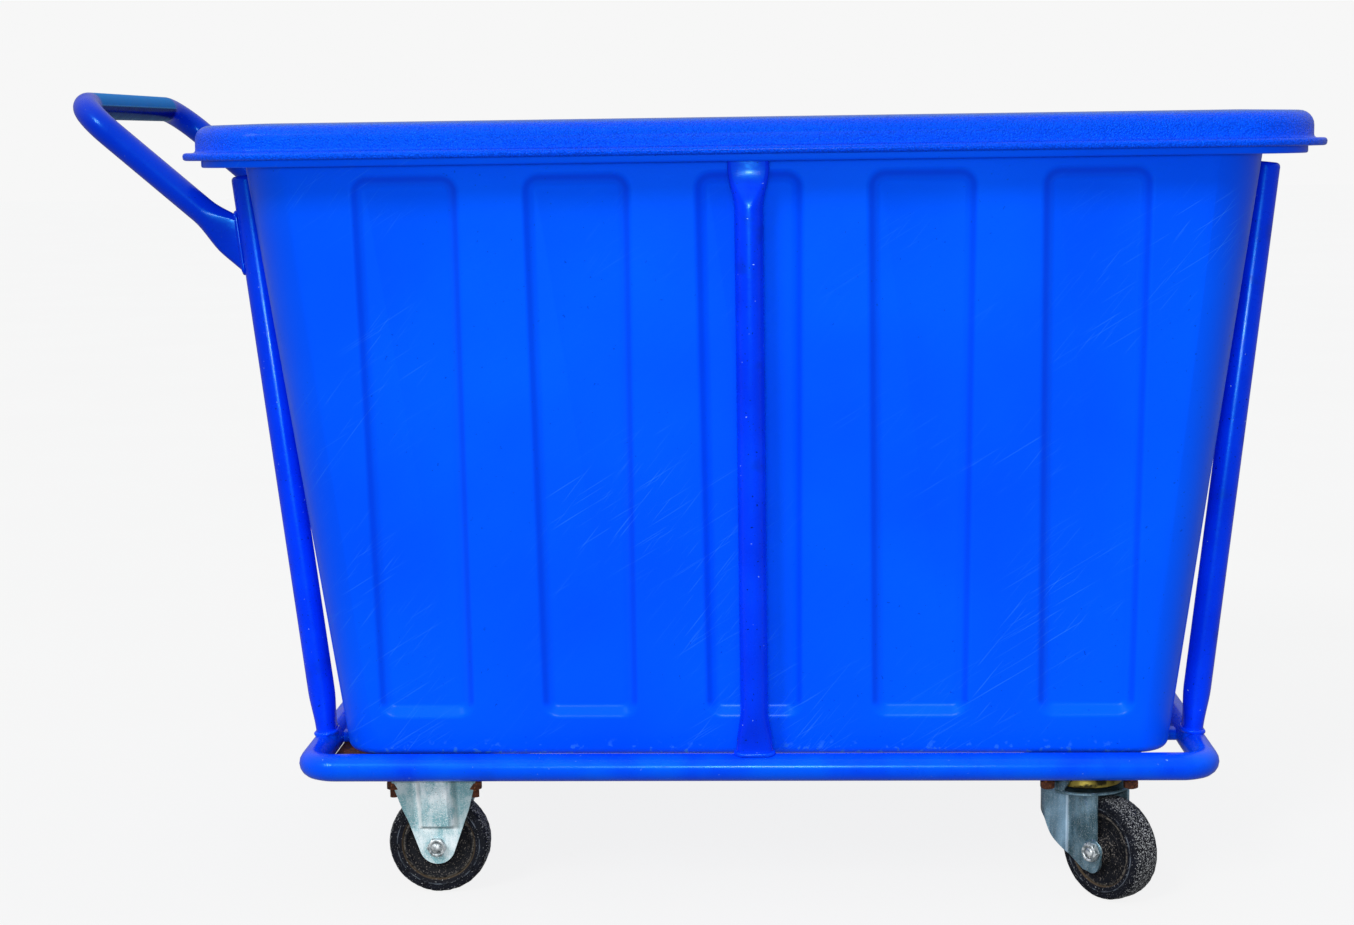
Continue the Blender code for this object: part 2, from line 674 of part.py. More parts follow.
def bottom_rings(bottom, edge_r, inset):
    """The rounded edge between the floor and the walls."""
    rings = []
    for step in range(TUB_EDGE_STEPS + 1):
        angle = TUB_EDGE_FROM + (TUB_EDGE_TO - TUB_EDGE_FROM) * step / TUB_EDGE_STEPS
        level = bottom + edge_r * (1 - math.cos(angle))
        rings.append(wall_ring(level, inset + edge_r * (1 - math.sin(angle))))
    return rings


def rim_ring(half_inset, level):
    return rectangle(
        RIM_HALF_LENGTH - half_inset, RIM_HALF_WIDTH - half_inset, RIM_CORNER_R - half_inset, level
    )


def panel_block(centre, facing, depth_from, depth_to, grow):
    """A tapered block in the shape of one wall panel, between two depths below the wall's face."""
    low = TUB_BOTTOM + PANEL_ABOVE_BOTTOM
    high = RIM_TOP - PANEL_BELOW_RIM
    rings = []
    for depth in (depth_from, depth_to):
        inset = PANEL_CHAMFER * (depth - grow) / PANEL_DEPTH
        half_low = PANEL_WIDTH_LOW / 2 - inset
        half_high = PANEL_WIDTH_HIGH / 2 - inset
        corners = [
            Vector((centre - half_low, 0, low + inset)),
            Vector((centre + half_low, 0, low + inset)),
            Vector((centre + half_high, 0, high - inset)),
            Vector((centre - half_high, 0, high - inset)),
        ]
        corner_r = PANEL_CORNER_R - inset * PANEL_CORNER_TIGHTER
        outline = fillet(corners, [corner_r] * 4, steps=2)
        ring = []
        for point in outline:
            half_x, half_y = wall_half(point.z, depth)
            if facing.y:
                ring.append(Vector((point.x, facing.y * half_y, point.z)))
            else:
                ring.append(Vector((facing.x * half_x, point.x, point.z)))
        rings.append(ring)
    return loft("panel_block", rings)


def panel_places():
    """The middle of each panel along its wall, and the way the wall faces."""
    places = []
    for axis, count, half, margin in (
        (Y_AXIS, SIDE_PANELS, TUB_BOTTOM_HALF_LENGTH, SIDE_PANEL_MARGIN),
        (X_AXIS, END_PANELS, TUB_BOTTOM_HALF_WIDTH, END_PANEL_MARGIN),
    ):
        outermost = half - margin - PANEL_WIDTH_LOW / 2
        for i in range(count):
            centre = outermost * (2 * i / (count - 1) - 1)
            places.append((centre, axis))
            places.append((centre, -axis))
    return places


def build_tub(root):
    """A moulded tub of even wall: each panel is a recess outside and a boss of its shape inside."""
    lip_bottom = RIM_TOP - RIM_DROP
    rings = bottom_rings(TUB_BOTTOM, TUB_BOTTOM_EDGE_R, 0.0)
    rings.append(wall_ring(UNDER_FLANGE))
    rings.append(rim_ring(RIM_EDGE_R, UNDER_FLANGE))
    rings.append(rim_ring(TUB_WALL, RIM_TOP - RIM_EDGE_R))
    rings.append(rim_ring(TUB_WALL, lip_bottom))
    rings.append(rim_ring(0.0, lip_bottom))
    for step in range(4):
        angle = math.radians(30 * step)
        rings.append(rim_ring(
            RIM_EDGE_R * (1 - math.cos(angle)), RIM_TOP - RIM_EDGE_R * (1 - math.sin(angle))
        ))
    tub = loft("tub", rings)

    floor = TUB_BOTTOM + TUB_WALL
    inner_rings = bottom_rings(floor, TUB_BOTTOM_EDGE_R - TUB_WALL, TUB_WALL)
    inner_rings.append(wall_ring(UNDER_FLANGE, TUB_WALL))
    inner_rings.append(wall_ring(RIM_TOP + CUTTER_SKIN, 0.0))
    cavity = loft("cavity", inner_rings)

    # A boss is wider than its recess by what keeps the slanted edge as thick as the wall.
    slant = math.atan2(PANEL_DEPTH, PANEL_CHAMFER)
    wider = TUB_WALL * math.tan(slant / 2)
    boss_grow = TUB_WALL + wider * PANEL_DEPTH / PANEL_CHAMFER
    for centre, facing in panel_places():
        recess = panel_block(centre, facing, -CUTTER_SKIN, PANEL_DEPTH, 0.0)
        combine(tub, recess, "DIFFERENCE")
        boss = panel_block(
            centre, facing, TUB_WALL - CUTTER_SKIN, TUB_WALL + PANEL_DEPTH, boss_grow
        )
        combine(cavity, boss, "DIFFERENCE")
    combine(tub, cavity, "DIFFERENCE")
    place(tub, "tub", root, TUB_PLASTIC)


def build_lid(root):
    """A moulded lid that wraps round the tub's rim and ends in a hem."""
    inside = LID_SIDE_CLEARANCE
    outside = inside + LID_WALL
    hem_out = outside + LID_HEM_OUT
    hem_bottom = LID_INSIDE - LID_HEM_BOTTOM
    hem_top = hem_bottom + LID_HEM_HEIGHT
    inner_r = RIM_EDGE_R + LID_SIDE_CLEARANCE
    outer_r = inner_r + LID_WALL
    bend_z = LID_INSIDE - inner_r
    hem_round = LID_HEM_HEIGHT / 3
    rings = [rim_ring(LID_CROWN_INSET, LID_INSIDE + LID_CROWN)]
    for step in range(4):
        angle = math.radians(90 - 30 * step)
        rings.append(rim_ring(
            inner_r - inside - inner_r * math.cos(angle), bend_z + inner_r * math.sin(angle)
        ))
    rings.append(rim_ring(-inside, hem_bottom))
    rings.append(rim_ring(-hem_out + hem_round, hem_bottom))
    rings.append(rim_ring(-hem_out, hem_bottom + hem_round))
    rings.append(rim_ring(-hem_out, hem_top - hem_round))
    rings.append(rim_ring(-hem_out + hem_round, hem_top))
    rings.append(rim_ring(-outside - LID_WALL / 2, hem_top))
    rings.append(rim_ring(-outside, hem_top + LID_WALL / 2))
    for step in range(5):
        angle = math.radians(90 * step / 4)
        rings.append(rim_ring(
            outer_r - outside - outer_r * math.cos(angle), bend_z + outer_r * math.sin(angle)
        ))
    rings.append(rim_ring(LID_CROWN_INSET, LID_INSIDE + LID_WALL + LID_CROWN))
    place(loft("lid", rings), "lid", root, LID_PLASTIC)


def mirrored(half_profile):
    """A profile of (radius, height) points made whole by its mirror image."""
    return half_profile + [(r, -h) for r, h in reversed(half_profile)]


def build_wheel(prefix, axle, inner_face, head_face):
    """Tyre, core, sleeve, bolt and nut round an axle along Y, each about the axle's own empty."""
    edge = TYRE_WIDTH / 2
    tyre_half = [
        (TYRE_BORE_R, -edge + TYRE_STEP_DEPTH),
        (TYRE_BORE_R + TYRE_STEP, -edge),
        (WHEEL_R - TYRE_SHOULDER, -edge),
        (WHEEL_R, -TREAD_WIDTH / 2),
    ]
    tyre = turned("tyre", mirrored(tyre_half), Y_AXIS, WHEEL_SEGMENTS)
    place(tyre, prefix + "_tyre", axle, RUBBER)
    core_r = TYRE_BORE_R - GAP
    rim_r = core_r - CORE_RIM_WALL
    core_half = [
        (SLEEVE_R + GAP, -HUB_LENGTH / 2),
        (HUB_R, -HUB_LENGTH / 2),
        (HUB_R + CORE_DRAFT, -CORE_WEB / 2),
        (rim_r - CORE_DRAFT, -CORE_WEB / 2),
        (rim_r, -CORE_RIM_WIDTH / 2),
        (core_r, -CORE_RIM_WIDTH / 2),
    ]
    core = turned("core", mirrored(core_half), Y_AXIS, WHEEL_SEGMENTS)
    place(core, prefix + "_wheel_core", axle, CORE_PLASTIC)
    build_axle(prefix, axle.parent, Vector(axle.location), inner_face, head_face)


def build_axle(prefix, carrier, middle, inner_face, outer_face):
    """The sleeve between the legs, and the bolt and nut that clamp them."""
    sleeve_end = inner_face - GAP
    sleeve_half = [(AXLE_HOLE_R, -sleeve_end), (SLEEVE_R, -sleeve_end)]
    sleeve = turned("sleeve", mirrored(sleeve_half), Y_AXIS, TUBE_SIDES)
    place(sleeve, prefix + "_axle_sleeve", carrier, BRIGHT_STEEL).location = middle

    half_flats = AXLE_ACROSS_FLATS / 2
    head_in = outer_face + GAP
    nut_out = head_in + AXLE_NUT_HEIGHT
    levels = [
        (-head_in - AXLE_HEAD_HEIGHT, half_flats, True),
        (-head_in, half_flats, True),
        (-head_in, AXLE_R, False),
        (nut_out + AXLE_TIP - AXLE_CHAMFER, AXLE_R, False),
        (nut_out + AXLE_TIP, AXLE_R - AXLE_CHAMFER, False),
    ]
    rings = [along_y(regular_ring(r, z, hexagon=h)) for z, r, h in levels]
    bolt = place(loft("bolt", rings), prefix + "_axle_bolt", carrier, BRIGHT_STEEL)
    bolt.location = middle

    nut_rings = []
    for radius, level, hexagon in (
        (AXLE_HOLE_R, head_in, False), (half_flats, head_in, True),
        (half_flats, nut_out, True), (AXLE_HOLE_R, nut_out, False),
    ):
        nut_rings.append(along_y(regular_ring(radius, level, hexagon=hexagon)))
    nut = place(loft("nut", nut_rings, closed=True), prefix + "_axle_nut", carrier, BRIGHT_STEEL)
    nut.location = middle


def plate_blank(name):
    """A caster's top plate with its four bolt holes, about the middle of the caster."""
    outline = rectangle(PLATE_LENGTH / 2, PLATE_WIDTH / 2, PLATE_CORNER_R, PLATE_BOTTOM, steps=3)
    plate = extrude(name, outline, Z_AXIS * PLATE_THICKNESS)
    for x, y in bolt_places(0, 0):
        low = Vector((x, y, PLATE_BOTTOM - CUTTER_SKIN))
        high = Vector((x, y, CASTER_HEIGHT + CUTTER_SKIN))
        combine(plate, rod("hole", low, high, BOLT_HOLE_R, HOLE_SIDES), "DIFFERENCE")
    return plate


def rigid_leg_outline():
    """The side view of a leg, in X and Z: straight edges that close round the axle."""
    points = [
        Vector((RIGID_LEG_TOP_HALF, 0, PLATE_BOTTOM + PLATE_THICKNESS / 2)),
        Vector((RIGID_LEG_MID_HALF, 0, WHEEL_R + RIGID_LEG_MID_RISE)),
    ]
    left = [Vector((-p.x, 0, p.z)) for p in reversed(points)]
    distance = math.hypot(RIGID_LEG_MID_HALF, RIGID_LEG_MID_RISE)
    tangent = math.atan2(RIGID_LEG_MID_RISE, RIGID_LEG_MID_HALF)
    tangent -= math.acos(RIGID_LEG_END_R / distance)
    arc = []
    for step in range(RIGID_LEG_STEPS + 1):
        angle = tangent - (math.pi + 2 * tangent) * step / RIGID_LEG_STEPS
        arc.append(Vector((
            RIGID_LEG_END_R * math.cos(angle), 0, WHEEL_R + RIGID_LEG_END_R * math.sin(angle)
        )))
    return points + arc + left


def upright_block(half_x, low, high, start_y, end_y, corner_r):
    """A block whose outline in X and Z has rounded corners, drawn out along Y."""
    corners = [
        Vector((half_x, start_y, high)), Vector((-half_x, start_y, high)),
        Vector((-half_x, start_y, low)), Vector((half_x, start_y, low)),
    ]
    outline = fillet(corners, [0, 0, corner_r, corner_r], steps=2)
    return extrude("block", outline, Y_AXIS * (end_y - start_y))


def build_rigid_bracket(prefix, carrier):
    """Pressed plate and two legs, each leg with a raised channel down its middle."""
    bracket = plate_blank("bracket")
    inner = RIGID_OUTER - SHEET
    for side_sign in (-1, 1):
        outline = [p + Y_AXIS * side_sign * inner for p in rigid_leg_outline()]
        leg = extrude("leg", outline, Y_AXIS * side_sign * SHEET)
        channel = upright_block(
            CHANNEL_HALF, WHEEL_R + CHANNEL_RISE, PLATE_BOTTOM + PLATE_THICKNESS / 2,
            side_sign * (inner + SHEET / 2), side_sign * (RIGID_OUTER + CHANNEL_PROUD),
            CHANNEL_EDGE_R,
        )
        combine(leg, channel, "UNION")
        pocket = upright_block(
            CHANNEL_HALF - SHEET, WHEEL_R + CHANNEL_RISE + SHEET, PLATE_BOTTOM,
            side_sign * (inner - CUTTER_SKIN), side_sign * (RIGID_OUTER + CHANNEL_PROUD - SHEET),
            CHANNEL_EDGE_R / 2,
        )
        combine(leg, pocket, "DIFFERENCE")
        combine(bracket, leg, "UNION")
    reach = RIGID_OUTER + CHANNEL_PROUD + CUTTER_SKIN
    hole = rod("hole", Vector((0, -reach, WHEEL_R)), Vector((0, reach, WHEEL_R)), AXLE_HOLE_R)
    combine(bracket, hole, "DIFFERENCE")
    place(bracket, prefix + "_bracket", carrier, ZINC)


def build_rigid_caster(root, prefix, side_sign):
    """A fixed caster. Its nut is on the outer side of the trolley."""
    turn = 0.0 if side_sign < 0 else math.pi
    carrier = add_empty(prefix + "_carrier", root, (RIGID_X, side_sign * CASTER_Y, 0), turn)
    axle = add_empty(prefix + "_axle", carrier, (0, 0, WHEEL_R))
    build_rigid_bracket(prefix, carrier)
    build_wheel(prefix, axle, RIGID_OUTER - SHEET, RIGID_OUTER)


def fork_plan(inset, back, level):
    """The plan of hood and legs: a round hood in front, flat legs that run straight back."""
    side = FORK_OUTER - inset
    hood_r = CROWN_R - inset
    half = [
        Vector((back, side, level)),
        Vector((FORK_LEG_START, side, level)),
        Vector((FORK_LEG_START - FORK_SWELL_START, side + (hood_r - side) * HOOD_SHARE, level)),
    ]
    for step in range(HOOD_STEPS):
        angle = HOOD_START + (math.pi - HOOD_START) * step / HOOD_STEPS
        half.append(Vector((hood_r * math.cos(angle), hood_r * math.sin(angle), level)))
    other = [Vector((p.x, -p.y, p.z)) for p in reversed(half)]
    return half + [Vector((-hood_r, 0, level))] + other


def fork_side_outline():
    """The side view of the fork below its crown, in X and Z: a hood, and a leg round the axle."""
    back = SWIVEL_TRAIL + FORK_BACK
    hood_low = CROWN_TOP_Z - HOOD_DEPTH
    points = [(back, CROWN_TOP_Z), (back, WHEEL_R + 2 * FORK_BACK)]
    for step in range(FORK_EYE_STEPS + 1):
        angle = FORK_EYE_FROM + (FORK_EYE_TO - FORK_EYE_FROM) * step / FORK_EYE_STEPS
        points.append((
            SWIVEL_TRAIL - FORK_EYE_AHEAD + FORK_EYE_HALF_LENGTH * math.cos(angle),
            WHEEL_R - FORK_EYE_BELOW + FORK_EYE_HALF_HEIGHT * math.sin(angle),
        ))
    points += [
        (FORK_LEG_START, WHEEL_R - FORK_TOE_BELOW),
        (-FORK_KNEE_AHEAD, WHEEL_R + FORK_KNEE_RISE),
        (-HOOD_CUT_AHEAD, hood_low + HOOD_CUT_RISE),
        (-FORK_REACH, hood_low),
        (-FORK_REACH, CROWN_TOP_Z),
    ]
    return [Vector((x, -FORK_REACH, z)) for x, z in points]


def build_fork(prefix, turning):
    """Pressed fork: a round crown, a hood in front of it and two legs that trail."""
    crown_bottom = CROWN_TOP_Z - SHEET
    outer_top = CROWN_TOP_Z - SHEET / 2
    outline = fork_plan(0.0, FORK_REACH, FORK_FOOT_Z)
    fork = extrude("fork", outline, Z_AXIS * (outer_top - FORK_FOOT_Z))
    side_trim = extrude("side_trim", fork_side_outline(), Y_AXIS * 2 * FORK_REACH)
    combine(fork, side_trim, "INTERSECT")
    inside_foot = FORK_FOOT_Z - CUTTER_SKIN
    inside = extrude(
        "inside", fork_plan(SHEET, FORK_REACH + CUTTER_SKIN, inside_foot),
        Z_AXIS * (crown_bottom - inside_foot),
    )
    combine(fork, inside, "DIFFERENCE")
    crown = loft("crown", [
        regular_ring(CROWN_R - CROWN_EDGE, crown_bottom, CROWN_SIDES),
        regular_ring(CROWN_R, crown_bottom + CROWN_EDGE, CROWN_SIDES),
        regular_ring(CROWN_R, CROWN_TOP_Z - CROWN_EDGE, CROWN_SIDES),
        regular_ring(CROWN_R - CROWN_EDGE, CROWN_TOP_Z, CROWN_SIDES),
    ])
    combine(fork, crown, "UNION")
    low = Vector((0, 0, crown_bottom - SHEET))
    high = Vector((0, 0, CROWN_TOP_Z + SHEET))
    combine(fork, rod("hole", low, high, KINGPIN_R + GAP), "DIFFERENCE")
    reach = FORK_OUTER + CUTTER_SKIN
    near = Vector((SWIVEL_TRAIL, -reach, WHEEL_R))
    far = Vector((SWIVEL_TRAIL, reach, WHEEL_R))
    combine(fork, rod("hole", near, far, AXLE_HOLE_R), "DIFFERENCE")
    place(fork, prefix + "_fork", turning, FORK_ZINC)


def ball_ring(name, circle_r, ball_r, level, parent):
    """A full ring of balls, as the ring that they sweep."""
    profile = []
    for step in range(6):
        angle = math.radians(30 + 60 * step)
        profile.append((circle_r + ball_r * math.cos(angle), level + ball_r * math.sin(angle)))
    place(turned(name, profile, Z_AXIS, BALL_RING_SIDES), name, parent, BRIGHT_STEEL)


def build_swivel_head(prefix, carrier, turning):
    """Plate, races, balls and kingpin of a swivel caster."""
    plate = plate_blank("plate")
    seat = rod(
        "seat", Vector((0, 0, PLATE_BOTTOM - CUTTER_SKIN)),
        Vector((0, 0, CASTER_HEIGHT + CUTTER_SKIN)), KINGPIN_HEAD_R + GAP, RACE_SIDES,
    )
    combine(plate, seat, "DIFFERENCE")
    place(plate, prefix + "_top_plate", carrier, ZINC)

    ball_top = CROWN_TOP_Z + 2 * GAP + 2 * UPPER_BALL_R
    cup_top = PLATE_BOTTOM - GAP
    cup_bottom = CROWN_TOP_Z + RACE_CUP_LIP
    pin_clear = KINGPIN_R + GAP
    cup_profile = [
        (pin_clear, ball_top), (RACE_CUP_R - 2 * RACE_CUP_LIP, ball_top),
        (RACE_CUP_R - RACE_CUP_LIP, cup_bottom), (RACE_CUP_R, cup_bottom),
        (RACE_CUP_R, cup_top), (pin_clear, cup_top),
    ]
    place(turned("cup", cup_profile, Z_AXIS, CUP_SIDES), prefix + "_race_cup", carrier, YELLOW_ZINC)

    ball_ring(prefix + "_upper_ball_ring", UPPER_BALL_CIRCLE_R, UPPER_BALL_R,
              CROWN_TOP_Z + GAP + UPPER_BALL_R, turning)
    crown_bottom = CROWN_TOP_Z - SHEET
    ball_ring(prefix + "_lower_ball_ring", LOWER_BALL_CIRCLE_R, LOWER_BALL_R,
              crown_bottom - GAP - LOWER_BALL_R, turning)
    race_top = crown_bottom - 2 * GAP - 2 * LOWER_BALL_R
    race_bottom = race_top - LOWER_RACE_THICKNESS
    race_profile = [
        (pin_clear, race_bottom), (LOWER_RACE_R, race_bottom),
        (LOWER_RACE_R, race_top), (pin_clear, race_top),
    ]
    place(turned("race", race_profile, Z_AXIS, RACE_SIDES), prefix + "_lower_race", carrier, ZINC)

    rivet_top = race_bottom - GAP
    levels = [
        (CASTER_HEIGHT, KINGPIN_HEAD_R), (cup_top + GAP, KINGPIN_HEAD_R),
        (cup_top + GAP, KINGPIN_R), (rivet_top, KINGPIN_R), (rivet_top, KINGPIN_RIVET_R),
        (rivet_top - KINGPIN_RIVET_HEIGHT, KINGPIN_RIVET_R),
    ]
    rings = [regular_ring(r, z) for z, r in levels]
    place(loft("kingpin", rings), prefix + "_kingpin", carrier, BRIGHT_STEEL)


def build_swivel_caster(root, prefix, side_sign, angle):
    """A swivel caster. The plate stays with the frame, and the fork turns about the kingpin."""
    carrier = add_empty(prefix + "_carrier", root, (SWIVEL_X, side_sign * CASTER_Y, 0))
    turning = add_empty(prefix + "_swivel", carrier, turn=angle)
    axle = add_empty(prefix + "_axle", turning, (SWIVEL_TRAIL, 0, WHEEL_R))
    build_swivel_head(prefix, carrier, turning)
    build_fork(prefix, turning)
    build_wheel(prefix, axle, FORK_OUTER - SHEET, FORK_OUTER)


def main():
    clear_scene()
    root = add_empty("trolley", location=(CENTRE_SHIFT, 0, 0))
    build_base_loop(root)
    for side, side_sign in (("front", -1), ("rear", 1)):
        build_rail(root, "base_rail_" + side, side_sign)
        build_side_post(root, "side_post_" + side, side_sign)
        build_end_post(root, "handle_post_" + side, -1, side_sign)
        build_end_post(root, "nose_post_" + side, 1, side_sign)
        build_pad(root, "handle_pad_" + side, RIGID_X, side_sign, True, RIGID_BOLT_TIP)
        build_pad(root, "nose_pad_" + side, SWIVEL_X, side_sign, False, SWIVEL_BOLT_TIP)
        build_rigid_caster(root, "rigid_" + side, side_sign)
    build_push_handle(root)
    build_tub(root)
    build_lid(root)
    build_swivel_caster(root, "swivel_front", -1, SWIVEL_ANGLE_FRONT)
    build_swivel_caster(root, "swivel_rear", 1, SWIVEL_ANGLE_REAR)


main()
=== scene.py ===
"""The looks of a laundry trolley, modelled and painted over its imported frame. Metres, +Z up."""
import json
from math import acos, atan2, copysign, cos, hypot, pi, radians, remainder, sin, tan

import bmesh
import bpy
from mathutils import Matrix, Vector


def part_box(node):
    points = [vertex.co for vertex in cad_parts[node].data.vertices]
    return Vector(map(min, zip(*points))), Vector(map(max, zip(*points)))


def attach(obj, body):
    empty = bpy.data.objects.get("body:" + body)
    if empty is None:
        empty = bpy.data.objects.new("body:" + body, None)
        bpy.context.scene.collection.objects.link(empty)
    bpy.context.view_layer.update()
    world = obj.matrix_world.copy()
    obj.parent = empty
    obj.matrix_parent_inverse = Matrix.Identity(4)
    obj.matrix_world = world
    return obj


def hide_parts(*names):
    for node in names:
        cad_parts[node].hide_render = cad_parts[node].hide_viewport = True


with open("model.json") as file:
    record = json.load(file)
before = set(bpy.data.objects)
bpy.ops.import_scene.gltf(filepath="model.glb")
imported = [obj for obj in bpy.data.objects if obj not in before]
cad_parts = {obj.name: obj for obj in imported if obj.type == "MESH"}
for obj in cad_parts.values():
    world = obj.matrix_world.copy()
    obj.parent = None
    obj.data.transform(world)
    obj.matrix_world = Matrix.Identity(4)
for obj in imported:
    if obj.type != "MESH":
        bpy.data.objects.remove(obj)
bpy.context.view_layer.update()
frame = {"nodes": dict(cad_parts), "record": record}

FINISHES = {}                # the finish of each material slot, filled by dress()

X_AXIS = Vector((1, 0, 0))
Y_AXIS = Vector((0, 1, 0))
Z_AXIS = Vector((0, 0, 1))
SIDES = (("front", -1), ("rear", 1))
CORNERS = ((-1, -1), (-1, 1), (1, -1), (1, 1))
NEAR = 1e-5                  # how close a point counts as being in a place

# The photograph's camera
CAMERA_PLACE = (0.105625, -2.51099, 0.74782)
CAMERA_YAW = radians(-2.72)
CAMERA_PITCH = radians(7.82)
CAMERA_ROLL = radians(0.82)
CAMERA_LENS = 62.87
SENSOR_WIDTH = 36

# Light
SURROUND = 0.93              # what the camera sees behind the floor
SKY_TINT = (0.95, 0.98, 1.0, 1)
SKY_HEIGHTS = (-0.05, 0.85)
SKY_STRENGTHS = (0.26, 0.95)
SUN_TURN = (radians(54), 0, radians(-30))
SUN_STRENGTH = 1.45
SUN_WIDTH = radians(16)
LAMP_OFFSET = Vector((-0.04, 0.10, 0.07))      # from the camera
LAMP_AIM_Z = 0.45
LAMP_GAP = 0.05
LAMPS = ((1.0, 0.30, 10), (0.26, 0.10, 12))    # width, height and power
FLOOR_SIZE = 60
FLOOR_GREYS = (0.058, 0.064)
FLOOR_GLOW = 0.86            # as the camera sees it
FLOOR_BOUNCE = 0.22          # as the pieces see it

# Measures read from the frame
LOOP_LOW, LOOP_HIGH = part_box("base_loop")
TUB_LOW, TUB_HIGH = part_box("tub")
LID_LOW, LID_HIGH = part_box("lid")
RAIL_LOW, RAIL_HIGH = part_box("base_rail_front")
PLATE_LOW, PLATE_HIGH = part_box("swivel_front_top_plate")
TYRE_LOW, TYRE_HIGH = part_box("rigid_front_tyre")
SIDE_POST_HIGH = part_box("side_post_rear")[1]
NOSE_POST_LOW, NOSE_POST_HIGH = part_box("nose_post_rear")
HANDLE_LOW, HANDLE_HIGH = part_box("push_handle")
MIDDLE_X = (TUB_LOW.x + TUB_HIGH.x) / 2
TUBE_R = (LOOP_HIGH.z - LOOP_LOW.z) / 2
FULL = 2 * TUBE_R
LOOP_Z = (LOOP_HIGH.z + LOOP_LOW.z) / 2
LOOP_HALF_LENGTH = (LOOP_HIGH.x - LOOP_LOW.x) / 2 - TUBE_R
LOOP_HALF_WIDTH = LOOP_HIGH.y - TUBE_R
RIM_HALF_LENGTH = TUB_HIGH.x - MIDDLE_X
RIM_HALF_WIDTH = TUB_HIGH.y
TUB_BOTTOM = TUB_LOW.z
RIM_TOP = TUB_HIGH.z
HEM_BOTTOM = LID_LOW.z
LID_TOP = LID_HIGH.z
RAIL_Y = (RAIL_LOW.y + RAIL_HIGH.y) / -2
END_POST_Y = (NOSE_POST_LOW.y + NOSE_POST_HIGH.y) / 2
WHEEL_R = TYRE_HIGH.z / 2
TYRE_HALF = (TYRE_HIGH.y - TYRE_LOW.y) / 2

# Frame tube
LOOP_BEND_R = 0.026
TUBE_SIDES = 32
PRESS_RUN = 0.038            # the length over which a pressed end turns round
WELD_BEAD = 0.0024
RIPPLES = 44
RIPPLE_LIFTS = (0.32, 0.16, 0.16)      # share of the bead, ripple by ripple
END_POST_FOOT_X = 0.435
END_POST_TOP_X = 0.498
END_POST_TOP_Z = 0.717
SIDE_POST_TOP_Y = 0.326

# Casters
CASTERS = ("rigid_front", "rigid_rear", "swivel_front", "swivel_rear")
PLATE_HALF_LENGTH = 0.0525
PLATE_HALF_WIDTH = 0.040
BOLT_HALF_X = 0.0405
BOLT_HALF_Y = 0.030
BOLT_R = 0.004
BOLT_FLATS = 0.013
BOLT_HEAD = 0.0053
NUT_HEIGHT = 0.007
PAD_LIFT = 0.0003            # the pads lie this far above the caster plates
PAD_THICKNESS = 0.005
SHEET = 0.003
TYRE_BORE_R = 0.036
TREAD_EDGE_R = 0.0470        # wear starts here and is full after the fade
TREAD_FADE = 0.0030
TYRE_MARK_R = 0.0445
TYRE_FLAT = 0.0158           # the tyre's sides from its middle plane
HUB_R = 0.0135
HUB_HALF = 0.018
AXLE_R = 0.005
AXLE_FLATS = 0.017
AXLE_GAP = 0.0003
RIGID_OUTER = 0.0232
FORK_OUTER = 0.024
CROWN_R = 0.0435
CROWN_TOP = 0.110
SWIVEL_TRAIL = 0.033
SWIVEL_TURN = {"swivel_front": radians(-50), "swivel_rear": radians(20)}
MARK_TURN = {"rigid_front": 225, "rigid_rear": 80, "swivel_front": -38, "swivel_rear": 130}

# Half profiles of the wheel: distance from the axle, distance from the middle plane
TYRE_PROFILE = [
    (TYRE_BORE_R, 0.0142), (0.0366, 0.0150), (0.0376, 0.0155), (0.0396, 0.0157),
    (0.0406, TYRE_FLAT), (0.0410, TYRE_HALF), (0.0416, TYRE_HALF), (0.0420, 0.0159),
    (0.0432, TYRE_FLAT), (0.0446, TYRE_FLAT), (0.0460, TYRE_FLAT), (0.0470, 0.0155),
    (0.0480, 0.0150),
    (0.0489, 0.0142), (0.0496, 0.0130), (0.0502, 0.0115), (0.0506, 0.0098), (0.0509, 0.0078),
    (WHEEL_R, 0.0054), (WHEEL_R, 0.0026),
]
CORE_PROFILE = [
    (0.0075, HUB_HALF), (0.0090, HUB_HALF), (0.0095, HUB_HALF - 0.0006),
    (0.0128, HUB_HALF - 0.0006), (HUB_R, HUB_HALF - 0.0013), (0.0142, 0.0122), (0.0156, 0.0110),
    (0.0200, 0.0108), (0.0206, 0.0114), (0.0222, 0.0114), (0.0228, 0.0108), (0.0290, 0.0110),
    (0.0306, 0.0116), (0.0318, 0.0132), (0.0326, 0.0139), (0.0346, 0.0140), (0.0357, 0.0133),
]

# Tub
TUB_BOTTOM_HALF_LENGTH = 0.405
TUB_BOTTOM_HALF_WIDTH = 0.2545
TUB_SLOPE_END = 0.1273
TUB_SLOPE_SIDE = 0.1037
TUB_WALL = 0.005
TUB_EDGE_R = 0.008
TUB_CORNER_R_BOTTOM = 0.036
TUB_CORNER_R_TOP = 0.055
RIM_CORNER_R = 0.070
RIM_DROP = 0.0352
RIM_BEND_R = 0.004
CORNER_STEPS = 12
FLAT_FACING = 0.991          # how squarely a face of a flat wall faces out

